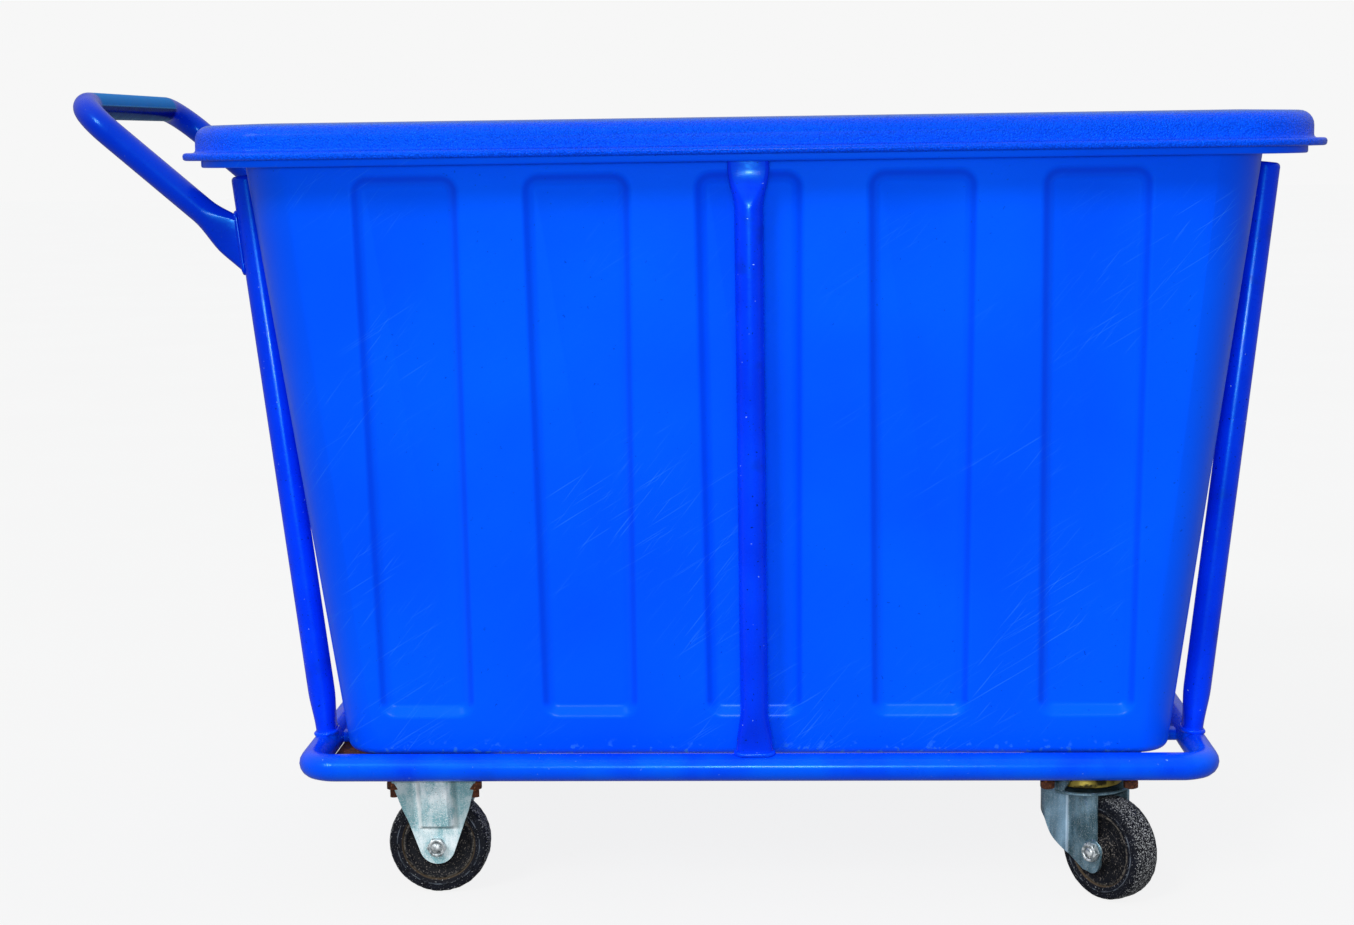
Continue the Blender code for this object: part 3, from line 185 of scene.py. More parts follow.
# Panels of the tub
PANEL_LOW = TUB_BOTTOM + 0.037
PANEL_HIGH = TUB_BOTTOM + 0.571
PANEL_HALF_LOW = 0.0495
PANEL_HALF_HIGH = 0.053
PANEL_CORNER_R = 0.018
PANEL_MARGIN = 0.0005        # between a panel's outline and the top of its slope
PANEL_DEPTH = 0.0060
PANEL_SLOPE_WIDTH = 0.0142
PANEL_SLOPE = (0.06, 0.22, 0.41, 0.59, 0.78, 0.94, 1.0)      # share of the depth, step by step
PANEL_ROWS = (
    (X_AXIS, Y_AXIS, [0.1605 * i for i in (-2, -1, 0, 1, 2)]),
    (Y_AXIS, X_AXIS, [0.144 * i for i in (-1, 0, 1)]),
)

# Lid
LID_WALL = 0.0038
LID_GAP = 0.0012             # between the lid and the rim's edge
LID_EDGE_R = 0.014
LID_CROWN = 0.0018
LID_CROWN_INSET = 0.060
HEM_HEIGHT = 0.0072
HEM_R = HEM_HEIGHT / 2 - 0.0006
HEM_FOOT_R = 0.0030
HEM_OUT = LID_HIGH.y - RIM_HALF_WIDTH


def select_all():
    bpy.ops.mesh.select_all(action="SELECT")


def face_out():
    """Turns the faces of the piece being edited outwards."""
    select_all()
    bpy.ops.mesh.normals_make_consistent(inside=False)


def pick(kind, wanted):
    """Selects, in the piece being edited, the points or the faces that pass the test."""
    bpy.ops.mesh.select_mode(type=kind)
    bpy.ops.mesh.select_all(action="DESELECT")
    mesh = bpy.context.object.data
    bm = bmesh.from_edit_mesh(mesh)
    for item in bm.verts if kind == "VERT" else bm.faces:
        if wanted(item):
            item.select_set(True)
    bm.select_flush_mode()
    bmesh.update_edit_mesh(mesh)


def each_part(piece, keys, belongs):
    """Selects the part of the open edge that belongs to each key in turn, and all at the end."""
    bpy.ops.mesh.select_mode(type="VERT")
    edge = [v.index for v in bmesh.from_edit_mesh(piece.data).verts if v.select]
    for key in (*keys, None):
        bm = bmesh.from_edit_mesh(piece.data)
        bm.verts.ensure_lookup_table()
        for index in edge:
            bm.verts[index].select_set(key is None or belongs(bm.verts[index], key))
        bm.select_flush_mode()
        if key is not None:
            yield key
    bpy.ops.mesh.select_mode(type="EDGE")


def middle(item):
    """The middle of a point or a face, from the tub's middle line at the floor."""
    points = [item] if isinstance(item, bmesh.types.BMVert) else item.verts
    place = bpy.context.object.matrix_world @ (sum((v.co for v in points), Vector()) / len(points))
    return place - X_AXIS * MIDDLE_X


def add(name, primitive, **settings):
    """Adds a primitive by itself, names it and opens it for editing."""
    bpy.ops.object.select_all(action="DESELECT")
    primitive(**settings)
    piece = bpy.context.object
    piece.name = name
    piece.data.name = name
    bpy.ops.object.mode_set(mode="EDIT")
    select_all()
    return piece


def only(piece):
    """Makes a piece the one that operators act on."""
    bpy.ops.object.select_all(action="DESELECT")
    piece.select_set(True)
    bpy.context.view_layer.objects.active = piece


def apply_modifier(piece, kind, **settings):
    only(piece)
    modifier = piece.modifiers.new(kind.lower(), kind)
    for key, value in settings.items():
        setattr(modifier, key, value)
    bpy.ops.object.modifier_apply(modifier=modifier.name)


def close_up(piece, place=None, smooth=40):
    """Ends the editing of a piece and puts its place in its mesh."""
    if bpy.context.mode != "OBJECT":
        bpy.ops.object.mode_set(mode="OBJECT")
    if place is not None:
        piece.matrix_world = place
    only(piece)
    bpy.ops.object.transform_apply(location=True, rotation=True, scale=True)
    bpy.ops.object.shade_smooth_by_angle(angle=radians(smooth))
    return piece


def soften(piece, width, segments=2, angle=30, smooth=40):
    """Rounds the edges of a piece that turn by more than an angle, and closes it up again."""
    apply_modifier(
        piece, "BEVEL", width=width, segments=segments, limit_method="ANGLE",
        angle_limit=radians(angle), use_clamp_overlap=True, harden_normals=False,
    )
    return close_up(piece, smooth=smooth)


def settle(piece, body, slot, *nodes):
    """Paints a piece, hangs it on its body and lets it stand for the CAD nodes named."""
    piece.data.materials.clear()
    piece.data.materials.append(FINISHES[slot])
    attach(piece, body)
    if nodes:
        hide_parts(*nodes)


def at(x=0.0, y=0.0, z=0.0):
    return Matrix.Translation((x, y, z))


def rotation(angle, axis="Z"):
    return Matrix.Rotation(angle, 4, axis)


def over(node, turn=0.0):
    """The place on the floor under the middle of a CAD node, turned about Z."""
    low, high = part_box(node)
    return at((low.x + high.x) / 2, (low.y + high.y) / 2) @ rotation(turn)


UPRIGHT = rotation(radians(90), "X")           # lifts Y to Z, and turns Z to -Y


def lay(foot, head, side):
    """The place of an upright piece whose Z runs from foot to head and whose X lies along side."""
    up = (head - foot).normalized()
    across = up.cross(side).normalized()
    place = Matrix((across.cross(up), across, up)).transposed().to_4x4()
    place.translation = foot
    return place


def falls(radius, steps, start=0, end=90):
    """How far the cosine and the sine of an arc fall short of its radius, step by step."""
    turns = [radians(start + (end - start) * i / steps) for i in range(steps + 1)]
    return [(radius * (1 - cos(turn)), radius * (1 - sin(turn))) for turn in turns]


def towards(turn):
    """The way that an angle points to, in the XY plane."""
    return Vector((cos(turn), sin(turn)))


def extrude(x, y, z):
    """Draws the open edge on by a step."""
    bpy.ops.mesh.extrude_edges_move(TRANSFORM_OT_translate={"value": (x, y, z)})


def move(x, y, z):
    bpy.ops.transform.translate(value=(x, y, z))


def stretch(x, y, centre):
    bpy.ops.transform.resize(value=(x, y, 1), center_override=centre)


def bisect(place, facing):
    bpy.ops.mesh.bisect(plane_co=place, plane_no=facing)


class Shell:
    """A shell that grows loop by loop from a plane with rounded corners, about the tub's middle.

    The size of a loop is its half length, half width, corner radius and level.
    """

    def __init__(self, name, size, faces_down=False):
        half_x, half_y, corner, level = size
        centre = (MIDDLE_X, 0, level)
        self.piece = add(name, bpy.ops.mesh.primitive_plane_add, size=2, location=centre)
        stretch(half_x, half_y, centre)
        bpy.ops.mesh.bevel(offset=corner, segments=CORNER_STEPS, affect="VERTICES")
        select_all()
        if faces_down:
            bpy.ops.mesh.flip_normals()
        bpy.ops.mesh.region_to_loop()
        self.size = size

    def grow(self, size):
        """Draws the open edge out to a new loop."""
        half_x, half_y, corner, level = size
        grown_x = half_x / self.size[0]
        grown_y = half_y / self.size[1]
        corner_x = self.size[2] * grown_x
        corner_y = self.size[2] * grown_y
        extrude(0, 0, level - self.size[3])
        stretch(grown_x, grown_y, (MIDDLE_X, 0, level))

        def at_corner(point, sides):
            place = middle(point)
            from_end = half_x - place.x * sides[0]
            from_side = half_y - place.y * sides[1]
            return from_end < corner_x + NEAR and from_side < corner_y + NEAR

        for side_x, side_y in each_part(self.piece, CORNERS, at_corner):
            centre = (MIDDLE_X + side_x * half_x, side_y * half_y, level)
            stretch(corner / corner_x, corner / corner_y, centre)
        self.size = size


def wall_size(level, inset=0.0):
    """The tub's outer loop at a level."""
    height = level - TUB_BOTTOM
    share = height / (RIM_TOP - TUB_BOTTOM)
    corner = TUB_CORNER_R_BOTTOM + share * (TUB_CORNER_R_TOP - TUB_CORNER_R_BOTTOM) - inset
    half_length = TUB_BOTTOM_HALF_LENGTH + TUB_SLOPE_END * height - inset
    half_width = TUB_BOTTOM_HALF_WIDTH + TUB_SLOPE_SIDE * height - inset
    return half_length, half_width, corner, level


def rim_size(inset, level):
    """A loop at a distance inside the edge of the tub's rim."""
    return RIM_HALF_LENGTH - inset, RIM_HALF_WIDTH - inset, RIM_CORNER_R - inset, level


def is_wall(face, across):
    """Whether a face is part of the two flat walls that stand across an axis."""
    place = middle(face)
    outward = face.normal.dot(across) * copysign(1, place.dot(across))
    return outward > FLAT_FACING and TUB_BOTTOM + TUB_EDGE_R < place.z < RIM_TOP - RIM_DROP / 2


def is_panel(face):
    """Whether a face lies inside a panel's outline."""
    place = middle(face)
    for along, across, centres in PANEL_ROWS:
        if PANEL_LOW < place.z < PANEL_HIGH and is_wall(face, across):
            nearest = min(abs(place.dot(along) - centre) for centre in centres)
            return nearest < PANEL_HALF_LOW / 2
    return False


def cut_panels():
    """Cuts the outlines of the panels into the tub's walls."""
    slope = (PANEL_HALF_HIGH - PANEL_HALF_LOW) / (PANEL_HIGH - PANEL_LOW)
    for level in (PANEL_LOW, PANEL_HIGH):
        pick("FACE", lambda face: any(is_wall(face, row[1]) for row in PANEL_ROWS))
        bisect((0, 0, level), Z_AXIS)
    for along, across, centres in PANEL_ROWS:
        for centre in centres:
            for side in (-1, 1):
                pick("FACE", lambda face: is_wall(face, across))
                place = X_AXIS * MIDDLE_X + along * (centre + side * PANEL_HALF_LOW)
                bisect(place + Z_AXIS * PANEL_LOW, along - Z_AXIS * side * slope)


def make_tub():
    """The moulded tub: walls with sunk panels, and a rim that turns out and down."""
    shell = Shell("tub_moulding", wall_size(TUB_BOTTOM, TUB_EDGE_R), faces_down=True)
    for rise, inset in falls(TUB_EDGE_R, 6)[1:]:
        shell.grow(wall_size(TUB_BOTTOM + rise, inset))
    flange = RIM_TOP - TUB_WALL
    shell.grow(wall_size(flange - RIM_BEND_R))
    half_length, half_width, corner, _ = wall_size(flange)
    for out, drop in falls(RIM_BEND_R, 3)[1:]:
        shell.grow((half_length + out, half_width + out, corner, flange - drop))
    for drop, inset in falls(RIM_BEND_R, 3):
        shell.grow(rim_size(TUB_WALL + inset, flange - drop))
    shell.grow(rim_size(TUB_WALL, RIM_TOP - RIM_DROP))

    cut_panels()
    pick("FACE", is_panel)
    bpy.ops.mesh.inset(thickness=PANEL_MARGIN, use_individual=True)
    bpy.ops.mesh.bevel(offset=PANEL_CORNER_R, segments=6, affect="VERTICES")
    pick("FACE", lambda face: is_panel(face) and face.calc_area() > PANEL_HALF_LOW ** 2)
    for before, share in zip((0.0, *PANEL_SLOPE), PANEL_SLOPE):
        bpy.ops.mesh.inset(
            thickness=PANEL_SLOPE_WIDTH / len(PANEL_SLOPE), depth=PANEL_DEPTH * (before - share),
            use_individual=True,
        )
    tub = close_up(shell.piece)
    apply_modifier(tub, "SOLIDIFY", thickness=TUB_WALL, offset=-1, use_even_offset=True)
    soften(tub, 0.0018, 3, 60)

    # How deep a point lies below the wall's outline, in panel depths, and none round the corners;
    # the finish paints shade on the panels' slopes from it.
    def sunk_share(co):
        half_length, half_width, corner, _ = wall_size(co.z)
        from_end = half_length - abs(co.x - MIDDLE_X)
        from_side = half_width - abs(co.y)
        if max(from_end, from_side) < corner:
            return 0.0
        return min(from_end, from_side) / PANEL_DEPTH

    keep(tub, "sunk", sunk_share)
    settle(tub, "tub", "tub_plastic", "tub")


def make_lid():
    """The moulded lid: a low dome over the rim, with a hem all round."""
    inner_r = LID_EDGE_R - LID_WALL
    roof = LID_TOP - LID_CROWN
    shoulder = LID_TOP - LID_CROWN * 0.35
    hem_top = HEM_BOTTOM + HEM_HEIGHT
    edge = rim_size(LID_CROWN_INSET, 0)[:3]
    flat = [0.7 * measure for measure in edge]
    shell = Shell("lid_moulding", (*flat, LID_TOP))
    shell.grow((*edge, shoulder))
    for drop, inset in falls(LID_EDGE_R, 6):
        shell.grow(rim_size(inset - LID_GAP - LID_WALL, roof - drop))
    for out, rise in falls(HEM_FOOT_R, 3):
        shell.grow(rim_size(-LID_GAP - LID_WALL - out, hem_top + rise))
    for fall, inset in falls(HEM_R, 6, 0, 180):
        rise = HEM_R - fall
        level = (HEM_BOTTOM + hem_top) / 2 + copysign(HEM_HEIGHT / 2 - HEM_R, rise) + rise
        shell.grow(rim_size(inset - HEM_OUT, level))
    shell.grow(rim_size(-LID_GAP - 0.001, HEM_BOTTOM))
    shell.grow(rim_size(-LID_GAP, HEM_BOTTOM + 0.001))
    for drop, inset in falls(inner_r, 4, 90, 0):
        shell.grow(rim_size(inset - LID_GAP, roof - LID_WALL - drop))
    shell.grow((*edge, shoulder - LID_WALL))
    shell.grow((*flat, LID_TOP - LID_WALL))
    bpy.ops.mesh.edge_face_add()
    settle(close_up(shell.piece, smooth=50), "lid", "lid_plastic", "lid")


def make_base_loop():
    """The ring of bent tube that the whole frame stands on."""
    centre = (MIDDLE_X, 0, LOOP_Z)
    loop = add("base_tube", bpy.ops.mesh.primitive_plane_add, size=2, location=centre)
    stretch(LOOP_HALF_LENGTH, LOOP_HALF_WIDTH, centre)
    bpy.ops.mesh.bevel(offset=LOOP_BEND_R, segments=14, affect="VERTICES")
    select_all()
    bpy.ops.mesh.delete(type="ONLY_FACE")
    bpy.ops.object.mode_set(mode="OBJECT")
    bpy.ops.object.convert(target="CURVE")
    loop.data.bevel_depth = TUBE_R
    loop.data.bevel_resolution = 7
    bpy.ops.object.convert(target="MESH")
    settle(close_up(loop, smooth=60), "frame", "frame_paint", "base_loop")


class Tube:
    """A tube raised upright from a ring, run by run, and laid in place at the end.

    A section is its width along X and its thickness along Y; the same for both is round.
    """

    def __init__(self, name, width, thickness):
        self.piece = add(
            name, bpy.ops.mesh.primitive_circle_add, vertices=TUBE_SIDES, radius=thickness / 2,
            fill_type="NOTHING",
        )
        self.width = thickness
        self.thickness = thickness
        self.height = 0.0
        self.spread(width - thickness)

    def spread(self, more):
        """Draws the two halves of the ring apart along X."""
        for side in each_part(self.piece, (-1, 1), lambda v, side: v.co.x * side > NEAR):
            move(side * more / 2, 0, 0)
        self.width += more

    def rise(self, height, width=None, thickness=None):
        """Extrudes the ring up to a height and gives it a new section."""
        width = width or self.width
        thickness = thickness or self.thickness
        extrude(0, 0, height - self.height)
        self.height = height
        if (width, thickness) != (self.width, self.thickness):
            grown = thickness / self.thickness
            stretch(grown, grown, (0, 0, height))
            self.width = (self.width - self.thickness) * grown + thickness
            self.thickness = thickness
            self.spread(width - self.width)

    def blend(self, height, width, thickness, steps=6):
        """Rises while the section changes smoothly."""
        start = (self.height, self.width, self.thickness)
        for step in range(1, steps + 1):
            t = step / steps
            eased = t * t * (3 - 2 * t)
            self.rise(
                start[0] + (height - start[0]) * t, start[1] + (width - start[1]) * eased,
                start[2] + (thickness - start[2]) * eased,
            )

    def cap(self, radius):
        """Closes a round end with a rounded edge."""
        top = self.height + radius
        across = self.width
        for narrowing, drop in falls(radius, 4)[1:]:
            self.rise(top - drop, across - 2 * narrowing, across - 2 * narrowing)
        bpy.ops.mesh.edge_face_add()

    def set_post(self, node, place, bead_z, bead_width, bead_thickness):
        """Sets a finished post in its place, with the weld round its foot."""
        settle(close_up(self.piece, place, 50), "frame", "frame_paint", node)
        weld(self.piece.name + "_weld", bead_width, bead_thickness, WELD_BEAD, place @ at(z=bead_z))


def weld(name, width, thickness, bead, place):
    """A rippled bead of weld round a pressed tube end, under the enamel."""
    piece = add(
        name, bpy.ops.mesh.primitive_torus_add, major_radius=thickness / 2, minor_radius=bead,
        major_segments=RIPPLES * 2, minor_segments=10,
    )
    for side in (-1, 1):
        pick("VERT", lambda v: v.co.x * side > NEAR)
        move(side * (width - thickness) / 2, 0, 0)
    for ripple in range(RIPPLES):
        angle = 2 * pi * (ripple + 0.5) / RIPPLES

        def in_ripple(v):
            return abs(remainder(atan2(v.co.y, v.co.x) - angle, 2 * pi)) < pi / RIPPLES / 2

        pick("VERT", in_ripple)
        move(0, 0, bead * RIPPLE_LIFTS[ripple % 3])
    close_up(piece, place, 60)
    apply_modifier(piece, "SUBSURF", levels=1, render_levels=1)
    bpy.ops.object.mode_set(mode="EDIT")
    face_out()
    settle(close_up(piece, smooth=60), "frame", "frame_paint")


def make_side_post(side, side_sign):
    """A centre post of a long side: its foot and its head are pressed flat."""
    foot = Vector((MIDDLE_X, side_sign * LOOP_HALF_WIDTH, LOOP_Z + TUBE_R * 0.6))
    head = Vector((MIDDLE_X, side_sign * SIDE_POST_TOP_Y, SIDE_POST_HIGH.z))
    length = (head - foot).length
    post = Tube("side_post_tube_" + side, 0.035, 0.0127)
    post.rise(0.012)
    post.blend(0.012 + PRESS_RUN, FULL, FULL)
    post.rise(length - 0.070)
    post.blend(length - 0.034, 0.0385, 0.009)
    post.rise(length)
    bpy.ops.mesh.edge_face_add()
    post.set_post("side_post_" + side, lay(foot, head, X_AXIS), 0.0062, 0.036, 0.0135)


def end_post_line(end_sign, side_sign):
    """The foot and the head of an end post's middle line."""
    y = side_sign * END_POST_Y
    return (
        Vector((MIDDLE_X + end_sign * END_POST_FOOT_X, y, LOOP_Z + TUBE_R)),
        Vector((MIDDLE_X + end_sign * END_POST_TOP_X, y, END_POST_TOP_Z)),
    )


def make_end_post(end, end_sign, side, side_sign):
    """An end post: its foot is pressed onto the base tube and its top is closed."""
    foot, head = end_post_line(end_sign, side_sign)
    sunk = 0.008
    end_round = 0.004
    foot = foot - (head - foot).normalized() * sunk
    post = Tube(end + "_post_tube_" + side, 0.031, 0.0195)
    post.rise(0.014)
    post.blend(0.014 + PRESS_RUN, FULL, FULL)
    post.rise((head - foot).length - end_round)
    post.cap(end_round)
    place = lay(foot, head, Y_AXIS)
    post.set_post(end + "_post_" + side, place, sunk + 0.0005, 0.032, 0.0205)


def make_push_handle():
    """The push handle: two straight arms with pressed ends, and the grip, all one bent tube."""
    foot, head = end_post_line(-1, -1)
    joint_z = 0.638
    grip_r = 0.042
    width = 0.041
    thickness = 0.011
    start = foot + (head - foot) * ((joint_z - foot.z) / (head.z - foot.z))
    grip = Vector((HANDLE_LOW.x + TUBE_R, start.y, HANDLE_HIGH.z - TUBE_R))
    arm = Tube("push_handle_tube", width, thickness)
    arm.rise(TUBE_R + 0.012)
    arm.blend(TUBE_R + 0.056, FULL, FULL, steps=8)
    arm.rise((grip - start).length - grip_r)
    bpy.ops.mesh.spin(
        steps=14, angle=radians(-90), center=(0, grip_r, arm.height), axis=-X_AXIS, dupli=False
    )
    extrude(0, -start.y - grip_r, 0)
    handle = close_up(arm.piece, lay(start, grip, -(grip - start).cross(Y_AXIS)), 50)
    apply_modifier(handle, "MIRROR", use_axis=(False, True, False), merge_threshold=0.0001)
    settle(close_up(handle, smooth=50), "frame", "frame_paint", "push_handle")

    along_arm = (grip - start).normalized()
    along_post = (head - foot).normalized()
    between = sin(along_arm.angle(along_post))
    spot = start + along_arm * TUBE_R / between
    seam = lay(spot, spot + along_post.cross(Y_AXIS), along_post)
    for side, side_sign in (("front", 1), ("rear", -1)):
        bead = Matrix.Diagonal((1, side_sign, 1, 1)) @ seam
        weld("handle_weld_" + side, width / between, thickness, 0.0022, bead)


def rounded(corners, radii, steps=6):
    """The points of a closed outline whose corners are rounded."""
    points = []
    for i, (corner, radius) in enumerate(zip(corners, radii)):
        here = Vector(corner)
        if not radius:
            points.append(here)
            continue
        back = (Vector(corners[i - 1]) - here).normalized()
        ahead = (Vector(corners[(i + 1) % len(corners)]) - here).normalized()
        half = back.angle(ahead) / 2
        centre = here + (back + ahead).normalized() * radius / sin(half)
        start = here + back * radius / tan(half) - centre
        end = here + ahead * radius / tan(half) - centre
        first = atan2(start.y, start.x)
        sweep = (atan2(end.y, end.x) - first + pi) % (2 * pi) - pi
        for step in range(steps + 1):
            points.append(centre + towards(first + sweep * step / steps) * radius)
    return points


def rectangle(low_x, high_x, low_y, high_y):
    return [(low_x, low_y), (high_x, low_y), (high_x, high_y), (low_x, high_y)]


def draw(name, points):
    """Draws a closed outline in the XY plane, one point after another."""
    piece = add(name, bpy.ops.mesh.primitive_plane_add, size=0.001)
    bpy.ops.mesh.merge(type="CENTER")
    bpy.ops.mesh.select_mode(type="VERT")
    move(points[0][0], points[0][1], 0)
    for before, after in zip(points, points[1:]):
        step = {"value": (after[0] - before[0], after[1] - before[1], 0)}
        bpy.ops.mesh.extrude_vertices_move(TRANSFORM_OT_translate=step)
    pick("VERT", lambda v: len(v.link_edges) == 1)
    bpy.ops.mesh.edge_face_add()
    select_all()
    return piece


def block(name, points, height, place=None):
    """A closed outline filled and drawn up along Z."""
    piece = draw(name, points)
    bpy.ops.mesh.edge_face_add()
    bpy.ops.mesh.extrude_region_move(TRANSFORM_OT_translate={"value": (0, 0, height)})
    face_out()
    return close_up(piece, place)


def turned(name, profile, segments=64, place=None, smooth=40):
    """A closed profile of (radius, height) points, spun once round the Y axis."""
    piece = draw(name, profile)
    bpy.ops.mesh.spin(steps=segments, angle=2 * pi, center=(0, 0, 0), axis=Y_AXIS, dupli=False)
    select_all()
    bpy.ops.mesh.remove_doubles(threshold=NEAR)
    face_out()
    return close_up(piece, place, smooth)


def combine(piece, other, operation):
    """Cuts a piece by another, or joins them into one skin."""
    apply_modifier(piece, "BOOLEAN", object=other, operation=operation, solver="EXACT")
    bpy.data.objects.remove(other)


def join(pieces):
    """Joins several pieces into the first."""
    only(pieces[0])
    for piece in pieces[1:]:
        piece.select_set(True)
    bpy.ops.object.join()
    return pieces[0]


def copy(piece, place, name):
    """A copy of a piece, with a mesh of its own, at a place."""
    only(piece)
    bpy.ops.object.duplicate(linked=False)
    made = bpy.context.object
    made.name = name
    made.data.name = name
    made.matrix_world = place
    bpy.ops.object.transform_apply(location=True, rotation=True, scale=True)
    return made


def keep(piece, name, measure):
    """Keeps a measure of each point in an attribute that the finish reads."""
    kept = piece.data.attributes.new(name, "FLOAT", "POINT")
    for point, item in zip(piece.data.vertices, kept.data):
        item.value = measure(point.co)


def hexagon(name, flats, height, bore=0.0):
    """A hexagon along Y, chamfered at its outer end, with a bore if it is a nut."""
    reach = flats / 2 / cos(radians(30))
    corners = [towards(radians(60 * i)) * reach for i in range(6)]
    piece = block(name, corners, height, at(y=height) @ UPRIGHT)
    face = flats * 0.475
    beyond = reach * 1.1
    under = height * -0.1
    fall = (beyond - face) * tan(radians(30))
    combine(piece, turned("chamfer", [
        (bore, under), (beyond, under), (beyond, height - fall), (face, height), (bore, height),
    ], 48), "INTERSECT")
    return soften(piece, flats * 0.025, 2, 25, smooth=30)


def thread(radius, low, high, pitch=0.00125):
    """The profile of a threaded rod along Y between two heights, out from its middle."""
    points = [(0, low)]
    for i in range(max(1, int((high - low) / pitch))):
        points.append((radius, low + pitch * (i + 0.15)))
        points.append((radius, low + pitch * (i + 0.45)))
        points.append((radius - pitch * 0.5, low + pitch * (i + 0.8)))
    return points + [(radius - pitch * 0.3, high), (0, high)]


def make_rail(side, side_sign):
    """A tube pressed flat, between the two ends of the base tube."""
    rail = Tube("rail_tube_" + side, RAIL_HIGH.y - RAIL_LOW.y, RAIL_HIGH.z - RAIL_LOW.z)
    bpy.ops.mesh.edge_face_add()
    select_all()
    rail.rise(RAIL_HIGH.x - RAIL_LOW.x)
    start = Vector((RAIL_LOW.x, side_sign * RAIL_Y, (RAIL_HIGH.z + RAIL_LOW.z) / 2))
    close_up(rail.piece, lay(start, start + X_AXIS, Y_AXIS), 50)
    settle(rail.piece, "frame", "frame_paint", "base_rail_" + side)


def pad_bolt(tip):
    """A plate bolt: its head on the pad, its nut and lock nut under the caster's plate."""
    pad_top = PLATE_HIGH.z + PAD_LIFT + PAD_THICKNESS
    nuts_low = PLATE_LOW.z - 2 * NUT_HEIGHT - PAD_LIFT
    pieces = [close_up(hexagon("plate_bolt", BOLT_FLATS, BOLT_HEAD), at(z=pad_top) @ UPRIGHT, 30)]
    for i in range(2):
        nut = hexagon("plate_nut", BOLT_FLATS, NUT_HEIGHT, BOLT_R)
        turn = rotation(radians(17 + 21 * i)) @ UPRIGHT.inverted()
        pieces.append(close_up(nut, at(z=nuts_low + NUT_HEIGHT * (i + 1)) @ turn, 30))
    rod = thread(BOLT_R, nuts_low - tip, pad_top)
    return join([*pieces, turned("bolt_thread", rod, 20, UPRIGHT, 25)])


def make_pads():
    """The steel plates between the frame's tubes, with the bolts of the casters."""
    for kind, caster, corner_r, tip in (
        ("handle_pad", "rigid_{}_tyre", 0.0138, 0.0085),
        ("nose_pad", "swivel_{}_top_plate", 0.004, 0.001),
    ):
        bolt = pad_bolt(tip)
        for side, side_sign in SIDES:
            low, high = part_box(kind + "_" + side)
            radii = [0.004] * 4
            radii[0 if side_sign < 0 else 3] = corner_r
            outline = rounded(rectangle(low.x, high.x, low.y, high.y), radii)
            place = at(z=PLATE_HIGH.z + PAD_LIFT)
            pieces = [soften(block(kind + "_steel_" + side, outline, PAD_THICKNESS, place), 0.0006)]
            for i, j in CORNERS:
                spot = over(caster.format(side)) @ at(i * BOLT_HALF_X, j * BOLT_HALF_Y)
                turn = rotation(radians(31 * i + 13 * j))
                pieces.append(copy(bolt, spot @ turn, "plate_bolt"))
            settle(join(pieces), "frame", "rusty_plate", kind + "_" + side)
        bpy.data.objects.remove(bolt)


def caster_plate(name):
    """A caster's top plate about the middle of the caster."""
    outline = rectangle(-PLATE_HALF_LENGTH, PLATE_HALF_LENGTH, -PLATE_HALF_WIDTH, PLATE_HALF_WIDTH)
    height = PLATE_HIGH.z - PLATE_LOW.z
    return soften(block(name, rounded(outline, [0.008] * 4), height, at(z=PLATE_LOW.z)), 0.0007)


def rigid_leg():
    """One leg of a fixed bracket: a tapered sheet with a channel pressed out of its middle."""
    end_r = 0.018
    half_top = 0.0435
    half_mid = 0.033
    rise = 0.039
    channel_half = 0.0170
    channel_low = WHEEL_R + 0.018
    slope = 0.0045
    proud = 0.0050
    bend = WHEEL_R + 0.022
    bend_run = 0.006
    lean = radians(17.5)
    top = bend + (PLATE_LOW.z - bend) / cos(lean)
    tangent = atan2(rise, half_mid) - acos(end_r / hypot(half_mid, rise))
    turns = [tangent - (pi + 2 * tangent) * step / 24 for step in range(25)]
    leg = draw("rigid_leg", [
        (half_top, top), (half_mid, WHEEL_R + rise),
        *((end_r * cos(turn), WHEEL_R + end_r * sin(turn)) for turn in turns),
        (-half_mid, WHEEL_R + rise), (-half_top, top),
    ])
    bpy.ops.mesh.edge_face_add()
    for place, facing in (
        ((-channel_half, 0, 0), X_AXIS), ((channel_half, 0, 0), X_AXIS),
        ((0, channel_low, 0), Y_AXIS),
    ):
        select_all()
        bisect(place, facing)

    def in_channel(face):
        spot = face.calc_center_median()
        return abs(spot.x) < channel_half and spot.y > channel_low

    pick("FACE", in_channel)
    bpy.ops.mesh.inset(thickness=slope, use_boundary=False)
    move(0, 0, proud)
    for level in (bend, bend + bend_run):
        select_all()
        bisect((0, level, 0), Y_AXIS)
        pick("VERT", lambda v: v.co.y > level + NEAR)
        bpy.ops.transform.rotate(
            value=-lean / 2, orient_axis="X", center_override=(0, level, 0)
        )
    close_up(leg, at(y=-RIGID_OUTER) @ UPRIGHT)
    apply_modifier(leg, "SOLIDIFY", thickness=SHEET, offset=-1, use_even_offset=True)
    soften(leg, 0.0014, 4, 25, smooth=35)
    # Where each point lies across the leg and above the channel's foot, for the painted shade and
    # highlights of its pressing.
    keep(leg, "across", lambda co: co.x)
    keep(leg, "up", lambda co: co.z - channel_low)
    return leg


def make_rigid_brackets():
    """The fixed brackets of the handle end."""
    leg = rigid_leg()
    for caster, turn in (("rigid_front", 0), ("rigid_rear", pi)):
        plate = caster_plate(caster + "_bracket_sheet")
        legs = [copy(leg, rotation(way), "rigid_leg") for way in (0, pi)]
        bracket = close_up(join([plate, *legs]), over(caster + "_tyre", turn), 35)
        settle(bracket, "frame", "zinc_bracket", caster + "_bracket")
    bpy.data.objects.remove(leg)


